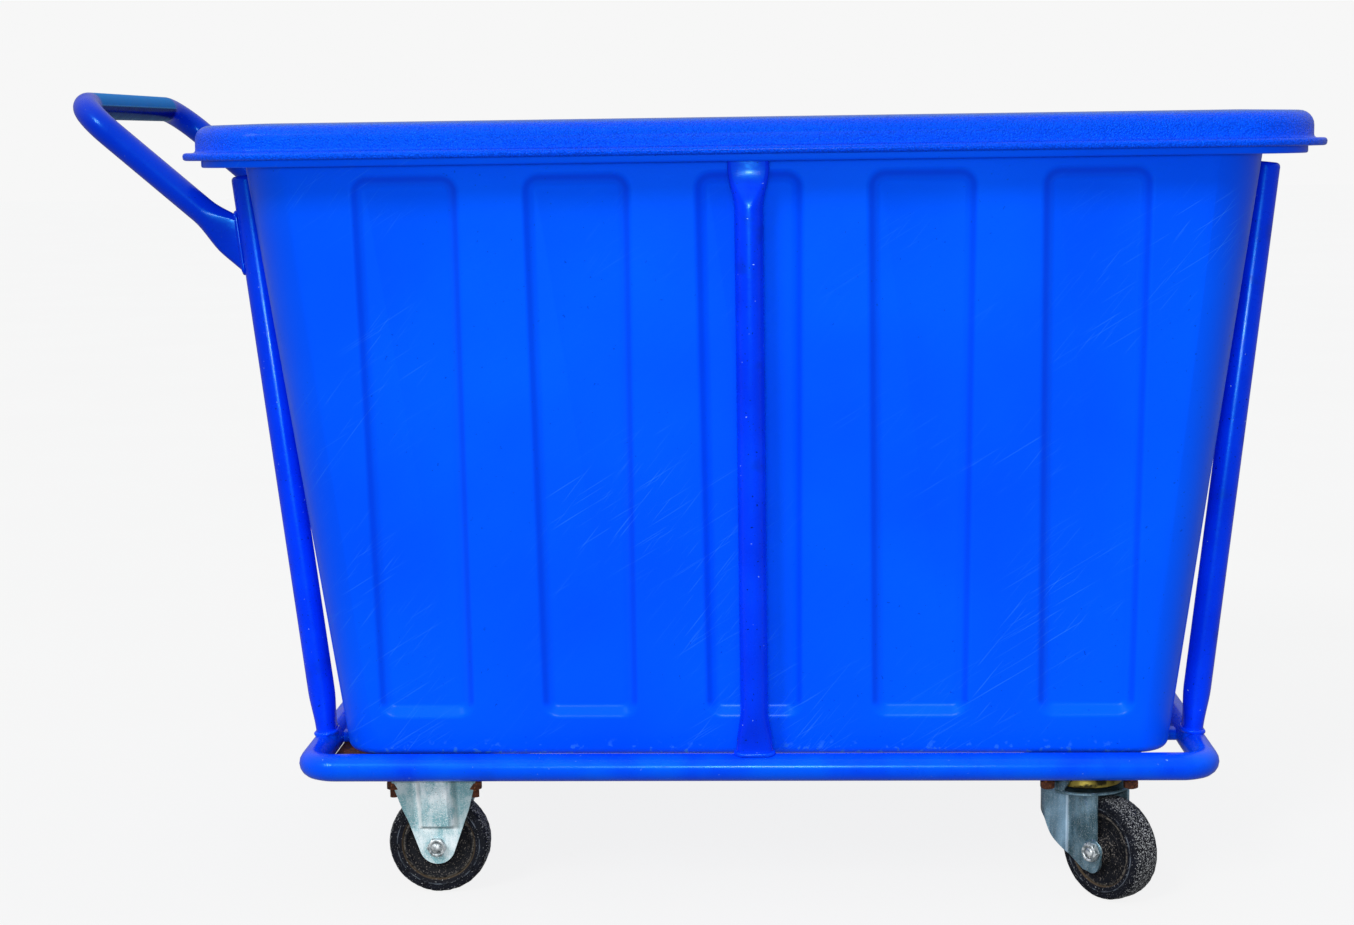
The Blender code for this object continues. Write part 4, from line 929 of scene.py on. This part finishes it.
def fork_plan(inset, back):
    """The plan of the fork: a round hood in front, and legs that run straight back."""
    side = FORK_OUTER - inset
    hood_r = CROWN_R - inset
    points = [
        Vector((back, side)), Vector((0.0035, side)), Vector((0.0015, side + 0.0003)),
        Vector((0.0001, side + 0.0011)),
    ]
    start = radians(125)
    turns = [start + (pi - start) * step / 16 for step in range(16)]
    hood = [Vector((hood_r * cos(turn), hood_r * sin(turn))) for turn in turns]
    knee = Vector((-0.0010, side + 0.0022))
    pull = hood[0] + Vector((sin(start), -cos(start))) * 0.012
    for step in range(10):
        t = step / 10
        points.append(knee.lerp(pull, t).lerp(pull.lerp(hood[0], t), t))
    points += hood
    other = [Vector((p.x, -p.y)) for p in reversed(points)]
    return points + [Vector((-hood_r, 0))] + other


def fork_side():
    """The side view of the fork: its back, the eye, the slanted front edge and the hood."""
    back = SWIVEL_TRAIL + 0.0035
    front = -0.060
    eye_x = SWIVEL_TRAIL - 0.002
    eye_z = WHEEL_R - 0.008
    turns = [radians(45 - 155 * step / 12) for step in range(13)]
    edge = [(0.020, 0.0305), (0.000, 0.0425), (-0.012, 0.060), (-0.020, 0.079),
            (front, CROWN_TOP - 0.014)]
    return [
        (back, CROWN_TOP), (back, WHEEL_R + 0.010), (back + 0.0005, WHEEL_R + 0.006),
        *((eye_x + 0.0112 * cos(turn), eye_z + 0.0142 * sin(turn)) for turn in turns),
        *rounded(edge, [0, 0.018, 0.050, 0.012, 0]), (front, CROWN_TOP),
    ]


def make_forks():
    """The swivel forks: a crown with a brim, a hood and two legs, pressed from one sheet."""
    reach = 0.060
    under_crown = CROWN_TOP - SHEET
    foot = 0.020
    fork = block("fork_body", fork_plan(0.0, reach), CROWN_TOP - 0.001 - foot, at(z=foot))
    trim = block("trim", fork_side(), 2 * reach, at(y=reach) @ UPRIGHT)
    combine(fork, trim, "INTERSECT")
    under = 0.019
    inside = block("inside", fork_plan(SHEET, reach + 0.001), under_crown - under, at(z=under))
    combine(fork, inside, "DIFFERENCE")
    rim = CROWN_R
    combine(fork, turned("crown", [
        (0.006, under_crown), (rim - 0.0012, under_crown), (rim, under_crown + 0.001),
        (rim, CROWN_TOP - 0.0008), (rim - 0.0010, CROWN_TOP), (rim - 0.0035, CROWN_TOP),
        (rim - 0.0050, CROWN_TOP - 0.0007), (0.006, CROWN_TOP - 0.0007),
    ], 96, UPRIGHT), "UNION")
    shoulder_top = PLATE_LOW.z - 0.0022
    shoulder = turned("shoulder", [
        (0.0385, CROWN_TOP - 0.002), (rim - 0.0004, CROWN_TOP - 0.002),
        (rim - 0.0004, CROWN_TOP + 0.001), (rim - 0.0012, CROWN_TOP + 0.004),
        (rim - 0.0028, shoulder_top - 0.0006), (rim - 0.0036, shoulder_top), (0.0385, shoulder_top),
    ], 96, UPRIGHT)
    combine(shoulder, block("slant", [
        (-reach, CROWN_TOP - 0.010), (0.004, CROWN_TOP - 0.010), (0.019, CROWN_TOP + 0.020),
        (-reach, CROWN_TOP + 0.020),
    ], 2 * reach, at(y=reach) @ UPRIGHT), "INTERSECT")
    combine(fork, shoulder, "UNION")
    soften(fork, 0.0007, 3, 28, smooth=32)
    rings = []
    for side in (-1, 1):
        place = at(SWIVEL_TRAIL, side * FORK_OUTER, WHEEL_R) @ rotation(pi if side < 0 else 0, "X")
        rings.append(turned("pressed_ring", [
            (0.0092, 0), (0.0098, 0.0005), (0.0106, 0.0007), (0.0114, 0.0005), (0.0120, 0),
            (0.0106, -0.001),
        ], 48, place))
    fork = join([fork, *rings])
    # How far each point lies from the hood's crease, for the painted light on the hood, the leg and
    # the crease.
    keep(fork, "along", lambda co: 1 + co.x)
    for caster, turn in SWIVEL_TURN.items():
        made = copy(fork, over(caster + "_top_plate", turn), caster + "_fork_sheet")
        settle(made, caster, "zinc_fork", caster + "_fork")
    bpy.data.objects.remove(fork)


def make_swivel_heads():
    """The plate, the race cup and the rivet above each fork."""
    cup_low = CROWN_TOP + 0.003
    cup_top = PLATE_LOW.z - 0.0003
    for caster in SWIVEL_TURN:
        place = over(caster + "_top_plate")
        plate = close_up(caster_plate(caster + "_plate_sheet"), place)
        settle(plate, "frame", "zinc_bracket", caster + "_top_plate")
        cup = turned(caster + "_cup_pressing", [
            (0.006, cup_top), (0.0340, cup_top), (0.0355, cup_top - 0.0008),
            (0.0360, cup_top - 0.0025), (0.0360, cup_low + 0.0006), (0.0354, cup_low),
            (0.0340, cup_low), (0.0335, cup_low + 0.0008), (0.0330, cup_top - 0.003),
            (0.006, cup_top - 0.003),
        ], 72, place @ UPRIGHT)
        settle(cup, "frame", "yellow_zinc", caster + "_race_cup")
        pin_low, pin_high = (corner.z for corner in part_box(caster + "_kingpin"))
        pin = turned(caster + "_rivet", [
            (0, pin_low), (0.006, pin_low), (0.0078, pin_low + 0.0009), (0.0080, pin_low + 0.0015),
            (0.0055, pin_low + 0.0015), (0.0055, cup_top), (0.0088, cup_top), (0.0090, pin_high),
            (0, pin_high),
        ], 32, place @ UPRIGHT)
        settle(pin, "frame", "bright_steel", caster + "_kingpin")


def both_sides(half, *between):
    """A whole profile from its half."""
    return [*half, *between, *((r, -h) for r, h in reversed(half))]


def wear(tyre):
    """Chips and scuffs the tread inwards, and leaves the rest of the tyre whole."""
    lumps = bpy.data.textures.new("tread_wear", "CLOUDS")
    lumps.noise_scale = 0.0042
    lumps.noise_depth = 2
    tread = tyre.vertex_groups.new(name="tread")
    for point in tyre.data.vertices:
        worn = (hypot(point.co.x, point.co.z) - TREAD_EDGE_R) / TREAD_FADE
        tread.add([point.index], min(1, max(0, worn)), "REPLACE")
    apply_modifier(
        tyre, "DISPLACE", texture=lumps, texture_coords="LOCAL", strength=0.0013, mid_level=1.0,
        vertex_group="tread",
    )
    bpy.data.textures.remove(lumps)
    tyre.vertex_groups.clear()


def make_wheels():
    """Tyres, cores and axles, each modelled once and copied to the four casters."""
    tyre = turned("tyre_start", both_sides(TYRE_PROFILE, (WHEEL_R, 0)), 160, smooth=60)
    wear(tyre)
    marks = []
    for side in (-1, 1):
        mark = add(
            "mark", bpy.ops.mesh.primitive_torus_add, major_radius=0.0014, minor_radius=0.0003,
            major_segments=20, minor_segments=8,
        )
        marks.append(close_up(mark, at(TYRE_MARK_R, side * TYRE_FLAT) @ UPRIGHT))
    tyre = join([tyre, *marks])
    core = turned("core_start", both_sides(CORE_PROFILE), 96)
    for piece in (tyre, core):
        keep(piece, "from_axle", lambda co: hypot(co.x, co.z))
    head = hexagon("head_start", AXLE_FLATS, 0.0065)
    nut = hexagon("nut_start", AXLE_FLATS, 0.0095, AXLE_R)
    groove = rectangle(AXLE_R, AXLE_R + 0.0012, 0.0030, 0.0080)
    combine(head, turned("groove", groove, 32), "DIFFERENCE")
    for caster in CASTERS:
        swivels = caster in SWIVEL_TURN
        carrier = caster if swivels else "frame"
        low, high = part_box(caster + "_tyre")
        turn = SWIVEL_TURN.get(caster, pi if caster == "rigid_rear" else 0)
        place = Matrix.Translation((low + high) / 2) @ rotation(turn)
        rolled = place @ rotation(radians(-MARK_TURN[caster]), "Y")
        outside = at(y=(FORK_OUTER if swivels else RIGID_OUTER) + AXLE_GAP)
        for start, spot, name, body, slot, node in (
            (tyre, rolled, "_tyre_rubber", caster + "_wheel", "tyre_rubber", "_tyre"),
            (core, rolled, "_core_moulding", caster + "_wheel", "core_plastic", "_wheel_core"),
            (head, place @ rotation(pi) @ outside, "_axle_head", carrier, "bright_steel",
             "_axle_bolt"),
            (nut, place @ outside, "_axle_nut_steel", carrier, "bright_steel", "_axle_nut"),
        ):
            settle(copy(start, spot, caster + name), body, slot, caster + node)
        end = turned(caster + "_axle_end", thread(AXLE_R, 0, 0.0125), 32, place @ outside, 25)
        settle(end, carrier, "bright_steel")
    for start in (tyre, core, head, nut):
        bpy.data.objects.remove(start)


class Value:
    """A number or a colour that varies over a surface. Its operators add Math nodes."""

    def __init__(self, nodes, socket):
        self.nodes = nodes
        self.socket = socket

    def __add__(self, other):
        return self.nodes.math("ADD", self, other)

    def __sub__(self, other):
        return self.nodes.math("SUBTRACT", self, other)

    def __rsub__(self, other):
        return self.nodes.math("SUBTRACT", other, self)

    def __mul__(self, other):
        return self.nodes.math("MULTIPLY", self, other)

    def __abs__(self):
        return self.nodes.math("ABSOLUTE", self)


class Nodes:
    """A tree of shader nodes."""

    def __init__(self, tree):
        self.tree = tree

    def node(self, kind, sockets=None, output=0, **settings):
        """Adds a node, its settings first and then its sockets' values or links."""
        made = self.tree.nodes.new(kind)
        for key, value in settings.items():
            setattr(made, key, value)
        for key, value in (sockets or {}).items():
            if isinstance(value, Value):
                self.tree.links.new(value.socket, made.inputs[key])
            else:
                made.inputs[key].default_value = value
        return Value(self, made.outputs[output]) if made.outputs else None

    def math(self, operation, *values):
        return self.node("ShaderNodeMath", dict(enumerate(values)), operation=operation)

    def axes(self, place):
        """A place taken apart along X, Y and Z."""
        split = self.node("ShaderNodeSeparateXYZ", {0: place})
        return [Value(self, socket) for socket in split.socket.node.outputs]

    def spread(self, value, low, high, low_out=0.0, high_out=1.0):
        """Maps a range of a value to another range, held at its ends."""
        return self.node(
            "ShaderNodeMapRange", {0: value, 1: low, 2: high, 3: low_out, 4: high_out}, clamp=True
        )

    def band(self, value, centre, reach, fade):
        """1 within a reach of a centre, falling to 0 at the end of the fade."""
        return self.spread(abs(value - centre), reach, fade, 1, 0)

    def mix(self, share, first, second):
        """Colours mixed by a share."""
        return self.node("ShaderNodeMix", {0: share, 6: first, 7: second}, 2, data_type="RGBA")


class Paint(Nodes):
    """One finish: a Principled shader, and its colour laid on coat by coat."""

    def __init__(self, name, constants):
        self.material = bpy.data.materials.new(name)
        self.material.use_nodes = True
        super().__init__(self.material.node_tree)
        self.shader = self.tree.nodes["Principled BSDF"]
        for key, value in constants.items():
            self.shader.inputs[key].default_value = value
        self.place = self.node("ShaderNodeTexCoord", output="Object")

    def noise(self, scale, detail=2.0, roughness=0.5, place=None):
        return self.node("ShaderNodeTexNoise", {
            "Vector": place or self.place, "Scale": scale, "Detail": detail,
            "Roughness": roughness,
        })

    def specks(self, scale, detail, low, high, place=None):
        """The parts of a noise that reach above a level, faded in between two levels."""
        return self.spread(self.noise(scale, detail, place=place), low, high)

    def stretched(self, size, turn=(0, 0, 0)):
        """The place on the piece, turned and then divided by a size, for streaks and scratches."""
        return self.node(
            "ShaderNodeMapping", {"Vector": self.place, "Rotation": turn, "Scale": size},
            vector_type="TEXTURE",
        )

    def attribute(self, name):
        return self.node("ShaderNodeAttribute", output=2, attribute_name=name)

    def ground(self, share, dark, light):
        """The first coat: two sRGB colours clouded together."""
        self.colour = self.mix(share, tint(*dark), tint(*light))

    def coat(self, share, *colour):
        """Lays an sRGB colour over what is there, by a share."""
        self.colour = self.mix(share, self.colour, tint(*colour))

    def between(self, cloud, low, high):
        """A noise brought between two values."""
        return self.spread(cloud, 0.3, 0.7, low, high)

    def feed(self, socket, value):
        self.tree.links.new(value.socket, self.shader.inputs[socket])

    def finish(self, roughness, height, distance, strength):
        """Feeds the shader with its colour, its roughness and its bumps."""
        self.feed("Base Color", self.colour)
        self.feed("Roughness", roughness)
        self.feed("Normal", self.node(
            "ShaderNodeBump", {"Height": height, "Distance": distance, "Strength": strength}
        ))
        return self.material


def tint(red, green, blue):
    """An sRGB colour in 0 to 255, as a shader takes it."""
    values = []
    for channel in (red, green, blue):
        share = channel / 255
        values.append(share / 12.92 if share <= 0.04045 else ((share + 0.055) / 1.055) ** 2.4)
    return (*values, 1.0)


def grey(value):
    return (value, value, value, 1)


def make_frame_paint():
    """Blue enamel on tube: orange peel, small dark and pale specks, painted light on the base tube,
    and a metallic grip painted lit above, shaded below and highlighted.
    """
    paint = Paint("frame_enamel", {
        "Specular IOR Level": 0.50, "Specular Tint": tint(30, 185, 245),
        "Coat Weight": 0.10, "Coat Roughness": 0.14,
    })
    cloud = paint.noise(14, 3)
    paint.ground(paint.spread(cloud, 0.35, 0.65), (0, 45, 228), (0, 55, 244))
    grime = paint.specks(34, 4, 0.60, 0.72)
    paint.coat(grime * 0.35, 2, 34, 150)
    paint.coat(paint.specks(430, 1, 0.735, 0.76), 0, 10, 60)
    paint.coat(paint.specks(380, 1, 0.785, 0.80, paint.stretched((1.3, 1.1, 0.9))), 150, 190, 235)

    x, y, z = paint.axes(paint.place)
    # Painted light: the base tube is painted lighter and greener, in clouds, for the light it
    # catches from the floor and the lamps.
    low = paint.spread(z, LOOP_HIGH.z - 0.002, LOOP_HIGH.z + 0.006, 1, 0)
    paint.coat(low * paint.spread(cloud, 0.35, 0.60, 0.3, 0.9), 1, 84, 238)
    on_handle = paint.spread(x, HANDLE_LOW.x + 0.16, HANDLE_LOW.x + 0.22, 1, 0)
    paint.coat(on_handle * 0.75, 0, 36, 172)
    grip_z = HANDLE_HIGH.z - TUBE_R + 0.0008
    on_grip = paint.spread(x, HANDLE_LOW.x + FULL, HANDLE_LOW.x + FULL + 0.001, 1, 0)
    on_grip = on_grip * paint.spread(abs(y), 0.140, 0.150, 1, 0)
    # Painted light on the grip: its top half is painted lighter as if lit from above, its bottom
    # half darker as painted shade, and a painted highlight line runs along its middle.
    upper = paint.spread(z, grip_z - 0.0004, grip_z + 0.0004)
    paint.coat(on_grip * upper, 22, 136, 214)
    paint.coat(on_grip * (1 - upper), 0, 22, 104)
    paint.coat(on_grip * paint.band(z, grip_z, 0.0004, 0.0009) * 0.7, 120, 176, 222)
    paint.feed("Metallic", on_grip * 0.85)
    rough = paint.between(paint.noise(60, 3), 0.22, 0.34)
    return paint.finish(
        rough + on_grip * upper * 0.2 + grime * 0.15, paint.noise(300, 2), 0.00016, 0.5
    )


def make_tub_plastic():
    """Blue polyethylene, satin, with soft clouding, slanted scratches, scuffs at its foot and
    painted shade on its panels' slopes.
    """
    paint = Paint("tub_polyethylene", {
        "Specular IOR Level": 0.40, "Specular Tint": tint(16, 150, 255),
        "Coat Weight": 0.06, "Coat Roughness": 0.20,
    })
    cloud = paint.noise(3.5, 3)
    paint.ground(paint.between(cloud, 0, 1), (0, 74, 241), (0, 87, 251))
    worn = paint.specks(5, 3, 0.50, 0.66)
    fine, long = (
        paint.specks(1, 1, 0.68, 0.74, paint.stretched((width, 0.4, length), (0, radians(turn), 0)))
        for width, length, turn in ((0.0011, 0.060, 38), (0.0013, 0.085, 58))
    )
    scratch = fine + long
    paint.coat(scratch * (worn * 0.20 + 0.01), 70, 160, 250)
    z = paint.axes(paint.place)[2]
    sunk = paint.attribute("sunk")
    # Painted shade down the side and top slopes of the sunk panels, where the wall turns in.
    edge = paint.spread(sunk, 0.02, 0.25) * paint.spread(sunk, 0.45, 0.75, 1, 0)
    paint.coat(edge * paint.spread(z, PANEL_LOW + 0.012, PANEL_LOW + 0.018) * 0.45, 0, 48, 214)
    foot = paint.spread(z, TUB_BOTTOM + 0.004, TUB_BOTTOM + 0.018, 1, 0)
    paint.coat(foot * paint.specks(150, 3, 0.58, 0.66) * 0.55, 60, 140, 205)
    chip = paint.specks(260, 2, 0.715, 0.735) * paint.spread(cloud, 0.45, 0.55)
    paint.coat(chip * 0.5, 0, 40, 150)
    height = paint.noise(420, 2) * 0.4 - scratch * worn * 0.15 + paint.noise(28, 2)
    rough = paint.between(paint.noise(22, 4), 0.32, 0.46)
    return paint.finish(rough + scratch * 0.1, height, 0.0006, 0.35)


def make_lid_plastic():
    """The lid's blue plastic with its coarse pebble grain, painted shade in the grain's hollows and
    a painted pale reflection along its top edge.
    """
    paint = Paint("lid_pebbled", {
        "Specular IOR Level": 0.50, "Specular Tint": tint(40, 160, 250),
        "Coat Weight": 0.05, "Coat Roughness": 0.16,
    })
    pebble = paint.node(
        "ShaderNodeTexVoronoi",
        {"Vector": paint.place, "Scale": 680, "Smoothness": 0.6, "Randomness": 1.0},
        feature="SMOOTH_F1",
    )
    fine = paint.noise(900, 2)
    paint.ground(paint.between(paint.noise(5, 3), 0, 1), (0, 68, 232), (0, 82, 250))
    z = paint.axes(paint.place)[2]
    # A painted reflection: the top edge is painted pale grey-blue where it turns away at a grazing
    # angle.
    paint.coat(paint.spread(z, LID_TOP - 0.0052, LID_TOP - 0.0022) * 0.5, 52, 118, 170)
    # Painted shade in the hollows of the pebble grain.
    paint.coat(paint.spread(pebble, 0.35, 0.62) * 0.42, 0, 34, 150)
    return paint.finish(paint.between(fine, 0.22, 0.38), fine * 0.4 - pebble, 0.0010, 0.8)


def make_zinc(name, dark, light, metallic, bright):
    """Zinc plate: soft clouds, a fine spangle and small dark pits.

    Painted shade and painted highlights on the flanges, steps and creases of its pressings are
    laid from the attributes that the rigid legs (across, up) and the forks (along) keep.
    """
    paint = Paint(name, {"Metallic": metallic, "Specular IOR Level": 0.5})
    cloud = paint.noise(42, 3)
    streak = paint.noise(1, 3, place=paint.stretched((0.008, 0.008, 0.03)))
    paint.ground(paint.spread(cloud * 0.6 + streak * 0.4, 0.42, 0.60), dark, light)
    spangle = paint.noise(850, 2)
    paint.coat(paint.spread(spangle, 0.52, 0.64) * bright, 240, 248, 250)
    pit = paint.specks(1300, 1, 0.64, 0.72, paint.stretched((1.2, 0.9, 1.1)))
    paint.coat(pit * 0.75, 34, 52, 58)
    across, up, along = map(paint.attribute, ("across", "up", "along"))
    above = paint.spread(up, -0.001, 0.002)
    # Painted shade: the wings beyond the channel are painted darker, and the channel's wall on one
    # side darker still.
    paint.coat(above * paint.spread(abs(across), 0.0200, 0.0225) * 0.45, 92, 138, 146)
    paint.coat(above * paint.band(across, 0.0195, 0.0015, 0.0040) * 0.60, 48, 84, 90)
    # Painted shade along the channel's lower step, where its wall faces down.
    step = paint.spread(abs(across), 0.0160, 0.0190, 1, 0)
    paint.coat(step * paint.band(up, 0.0022, 0.0008, 0.0022) * 0.55, 52, 78, 82)
    # A painted highlight along the channel's wall on the other side.
    paint.coat(above * paint.band(across, -0.0160, 0.0008, 0.0030) * 0.7, 250, 254, 254)
    # Painted light on the fork: the hood lighter towards the crease, the leg face in painted shade,
    # and a painted highlight line down the crease below the crown.
    hood = paint.spread(along, 0.980, 0.9995) * paint.spread(along, 1.0, 1.0008, 1, 0)
    paint.coat(hood * 0.55, 160, 200, 232)
    paint.coat(paint.spread(along, 1.0004, 1.0016) * 0.15, 44, 62, 72)
    under = paint.spread(paint.axes(paint.place)[2], CROWN_TOP - 0.006, CROWN_TOP - 0.003, 1, 0)
    paint.coat(paint.band(along, 1.0, 0.0004, 0.0014) * under * 0.75, 206, 232, 252)
    return paint.finish(paint.between(cloud, 0.26, 0.42) + pit * 0.2, spangle, 0.00012, 0.5)


def make_rust():
    """Steel that has rusted brown, darker in its hollows and orange in places."""
    paint = Paint("rusty_steel", {"Metallic": 0.15, "Specular IOR Level": 0.3})
    cloud = paint.noise(150, 4, 0.6)
    paint.ground(paint.spread(cloud, 0.35, 0.65), (52, 28, 20), (112, 64, 42))
    orange = paint.specks(420, 3, 0.58, 0.70)
    paint.coat(orange * 0.7, 168, 104, 62)
    return paint.finish(paint.between(cloud, 0.65, 0.92), cloud + orange * 0.3, 0.0008, 0.6)


def make_yellow_zinc():
    """Yellow chromate on the bearing's cup, smeared with dark grease."""
    paint = Paint("yellow_chromate", {"Metallic": 0.8})
    cloud = paint.noise(60, 3)
    paint.ground(paint.spread(cloud, 0.35, 0.65), (120, 104, 44), (196, 178, 84))
    grease = paint.specks(90, 4, 0.46, 0.56)
    paint.coat(grease * 0.9, 16, 16, 14)
    rough = paint.between(cloud, 0.28, 0.46) + grease * 0.15
    return paint.finish(rough, paint.noise(600, 2) + grease, 0.0003, 0.5)


def make_steel():
    """Bright turned steel with dark dirt in its hollows."""
    paint = Paint("bright_steel", {"Metallic": 0.55})
    cloud = paint.noise(260, 3)
    paint.ground(paint.spread(cloud, 0.36, 0.62), (120, 132, 136), (222, 228, 230))
    return paint.finish(paint.between(cloud, 0.34, 0.52), paint.noise(900, 2), 0.00015, 0.5)


def make_rubber():
    """Black rubber, worn and dusty: pale grit, thickest on the tread, and a painted highlight on
    its raised ring.
    """
    paint = Paint("worn_rubber", {"Specular IOR Level": 0.16})
    radius = paint.attribute("from_axle")
    cloud = paint.noise(90, 3)
    paint.ground(paint.between(cloud, 0, 1), (4, 6, 14), (14, 18, 29))
    grit = paint.noise(640, 3, 0.6)
    level = paint.spread(radius, 0.0472, 0.0498, 0.620, 0.500)
    gritty = paint.spread(grit - level, 0.0, 0.05)
    pale = paint.mix(paint.specks(500, 1, 0.4, 0.6), tint(108, 110, 112), tint(186, 188, 190))
    paint.colour = paint.mix(gritty * 0.85, paint.colour, pale)
    # A painted highlight: the raised moulded ring is painted pale blue-grey, in clouds.
    ring = paint.band(radius, 0.0413, 0.0003, 0.0008)
    paint.coat(ring * paint.spread(cloud, 0.44, 0.60) * 0.45, 120, 130, 142)
    paint.coat(paint.spread(radius, 0.0364, 0.0374, 1, 0) * 0.5, 104, 88, 66)
    rough = paint.between(cloud, 0.55, 0.78) + gritty * 0.1
    return paint.finish(rough, grit + gritty * 0.5, 0.0009, 0.7)


def make_core_plastic():
    """The black moulded wheel core, gritty and dusty, most of all near its hub and its edge."""
    paint = Paint("dusty_core", {"Specular IOR Level": 0.16})
    radius = paint.attribute("from_axle")
    cloud = paint.noise(120, 3)
    paint.ground(paint.between(cloud, 0, 1), (5, 7, 13), (18, 20, 26))
    grit = paint.noise(640, 3, 0.6)
    hub = paint.spread(radius, 0.0130, 0.0175, 1, 0)
    paint.coat(paint.spread(grit + hub * 0.06, 0.60, 0.65) * 0.8, 116, 110, 104)
    dusty = paint.band(radius, 0.0352, 0.0006, 0.0018) * paint.specks(300, 3, 0.42, 0.58)
    paint.coat(dusty * 0.45, 118, 112, 102)
    return paint.finish(paint.between(cloud, 0.50, 0.72) + dusty * 0.2, grit, 0.0006, 0.5)


def set_camera():
    """The camera at the photograph's view."""
    forward = Vector((
        sin(CAMERA_YAW) * cos(CAMERA_PITCH), cos(CAMERA_YAW) * cos(CAMERA_PITCH),
        -sin(CAMERA_PITCH),
    ))
    right = Vector((cos(CAMERA_YAW), -sin(CAMERA_YAW), 0))
    up = right.cross(forward)
    rolled_right = right * cos(CAMERA_ROLL) - up * sin(CAMERA_ROLL)
    rolled_up = right * sin(CAMERA_ROLL) + up * cos(CAMERA_ROLL)
    place = Matrix((rolled_right, rolled_up, -forward)).transposed().to_4x4()
    place.translation = CAMERA_PLACE
    bpy.ops.object.camera_add()
    camera = bpy.context.object
    camera.matrix_world = place
    camera.data.lens = CAMERA_LENS
    camera.data.sensor_width = SENSOR_WIDTH
    bpy.context.scene.camera = camera


def set_sky():
    """A surround that lights the pieces more from above, and that the camera sees as pale."""
    world = bpy.data.worlds.new("studio")
    bpy.context.scene.world = world
    world.use_nodes = True
    world.node_tree.nodes.clear()
    sky = Nodes(world.node_tree)
    height = sky.axes(sky.node("ShaderNodeTexCoord", output="Generated"))[2]
    strength = sky.spread(height, *SKY_HEIGHTS, *SKY_STRENGTHS)
    around = sky.node("ShaderNodeBackground", {"Color": SKY_TINT, "Strength": strength})
    seen = sky.node("ShaderNodeBackground", {"Color": grey(SURROUND)})
    seen_straight = sky.node("ShaderNodeLightPath")
    both = sky.node("ShaderNodeMixShader", {0: seen_straight, 1: around, 2: seen})
    sky.node("ShaderNodeOutputWorld", {0: both})


def set_light():
    """Soft studio light from the upper left and two lamps by the camera."""
    bpy.ops.object.light_add(type="SUN", rotation=SUN_TURN)
    sun = bpy.context.object.data
    sun.energy = SUN_STRENGTH
    sun.angle = SUN_WIDTH
    place = Vector(CAMERA_PLACE) + LAMP_OFFSET
    facing = Vector((MIDDLE_X, -RIM_HALF_WIDTH, LAMP_AIM_Z)) - place
    for width, height, power in LAMPS:
        bpy.ops.object.light_add(
            type="AREA", location=place, rotation=facing.to_track_quat("-Z", "Y").to_euler()
        )
        lamp = bpy.context.object.data
        lamp.shape = "RECTANGLE"
        lamp.size = width
        lamp.size_y = height
        lamp.energy = power
        place = place + facing.normalized() * LAMP_GAP


def make_floor():
    """A plain pale floor that glows to the camera and lights the pieces less."""
    floor = add(
        "floor", bpy.ops.mesh.primitive_plane_add, size=FLOOR_SIZE, location=(MIDDLE_X, 0, 0)
    )
    bpy.ops.mesh.subdivide(number_cuts=3)
    close_up(floor)
    paint = Paint("pale_floor", {
        "Specular IOR Level": 0.0, "Roughness": 0.9, "Emission Strength": 1.0,
    })
    dark, light = map(grey, FLOOR_GREYS)
    paint.feed("Base Color", paint.mix(paint.between(paint.noise(2, 2), 0, 1), dark, light))
    seen_straight = paint.node("ShaderNodeLightPath")
    glow = paint.mix(seen_straight, grey(FLOOR_BOUNCE), grey(FLOOR_GLOW))
    paint.feed("Emission Color", glow)
    floor.data.materials.append(paint.material)


def dress():
    """Makes every piece and paints what stays of the frame."""
    FINISHES.update({
        "frame_paint": make_frame_paint(),
        "tub_plastic": make_tub_plastic(),
        "lid_plastic": make_lid_plastic(),
        "rusty_plate": make_rust(),
        "zinc_bracket": make_zinc("bright_zinc", (140, 188, 196), (240, 252, 255), 0.15, 0.75),
        "zinc_fork": make_zinc("grey_zinc", (76, 112, 126), (140, 178, 198), 0.70, 0.30),
        "yellow_zinc": make_yellow_zinc(),
        "bright_steel": make_steel(),
        "tyre_rubber": make_rubber(),
        "core_plastic": make_core_plastic(),
    })
    for part in frame["record"]["subparts"]:
        node = frame["nodes"][part["node"]]
        node.data.materials.clear()
        node.data.materials.append(FINISHES[part["material_slot"]])
    make_tub()
    make_lid()
    make_base_loop()
    for side, side_sign in SIDES:
        make_side_post(side, side_sign)
        make_end_post("nose", 1, side, side_sign)
        make_end_post("handle", -1, side, side_sign)
        make_rail(side, side_sign)
    make_push_handle()
    make_pads()
    make_rigid_brackets()
    make_forks()
    make_swivel_heads()
    make_wheels()


set_camera()
set_sky()
set_light()
make_floor()
dress()
bpy.context.scene.view_settings.view_transform = "Standard"
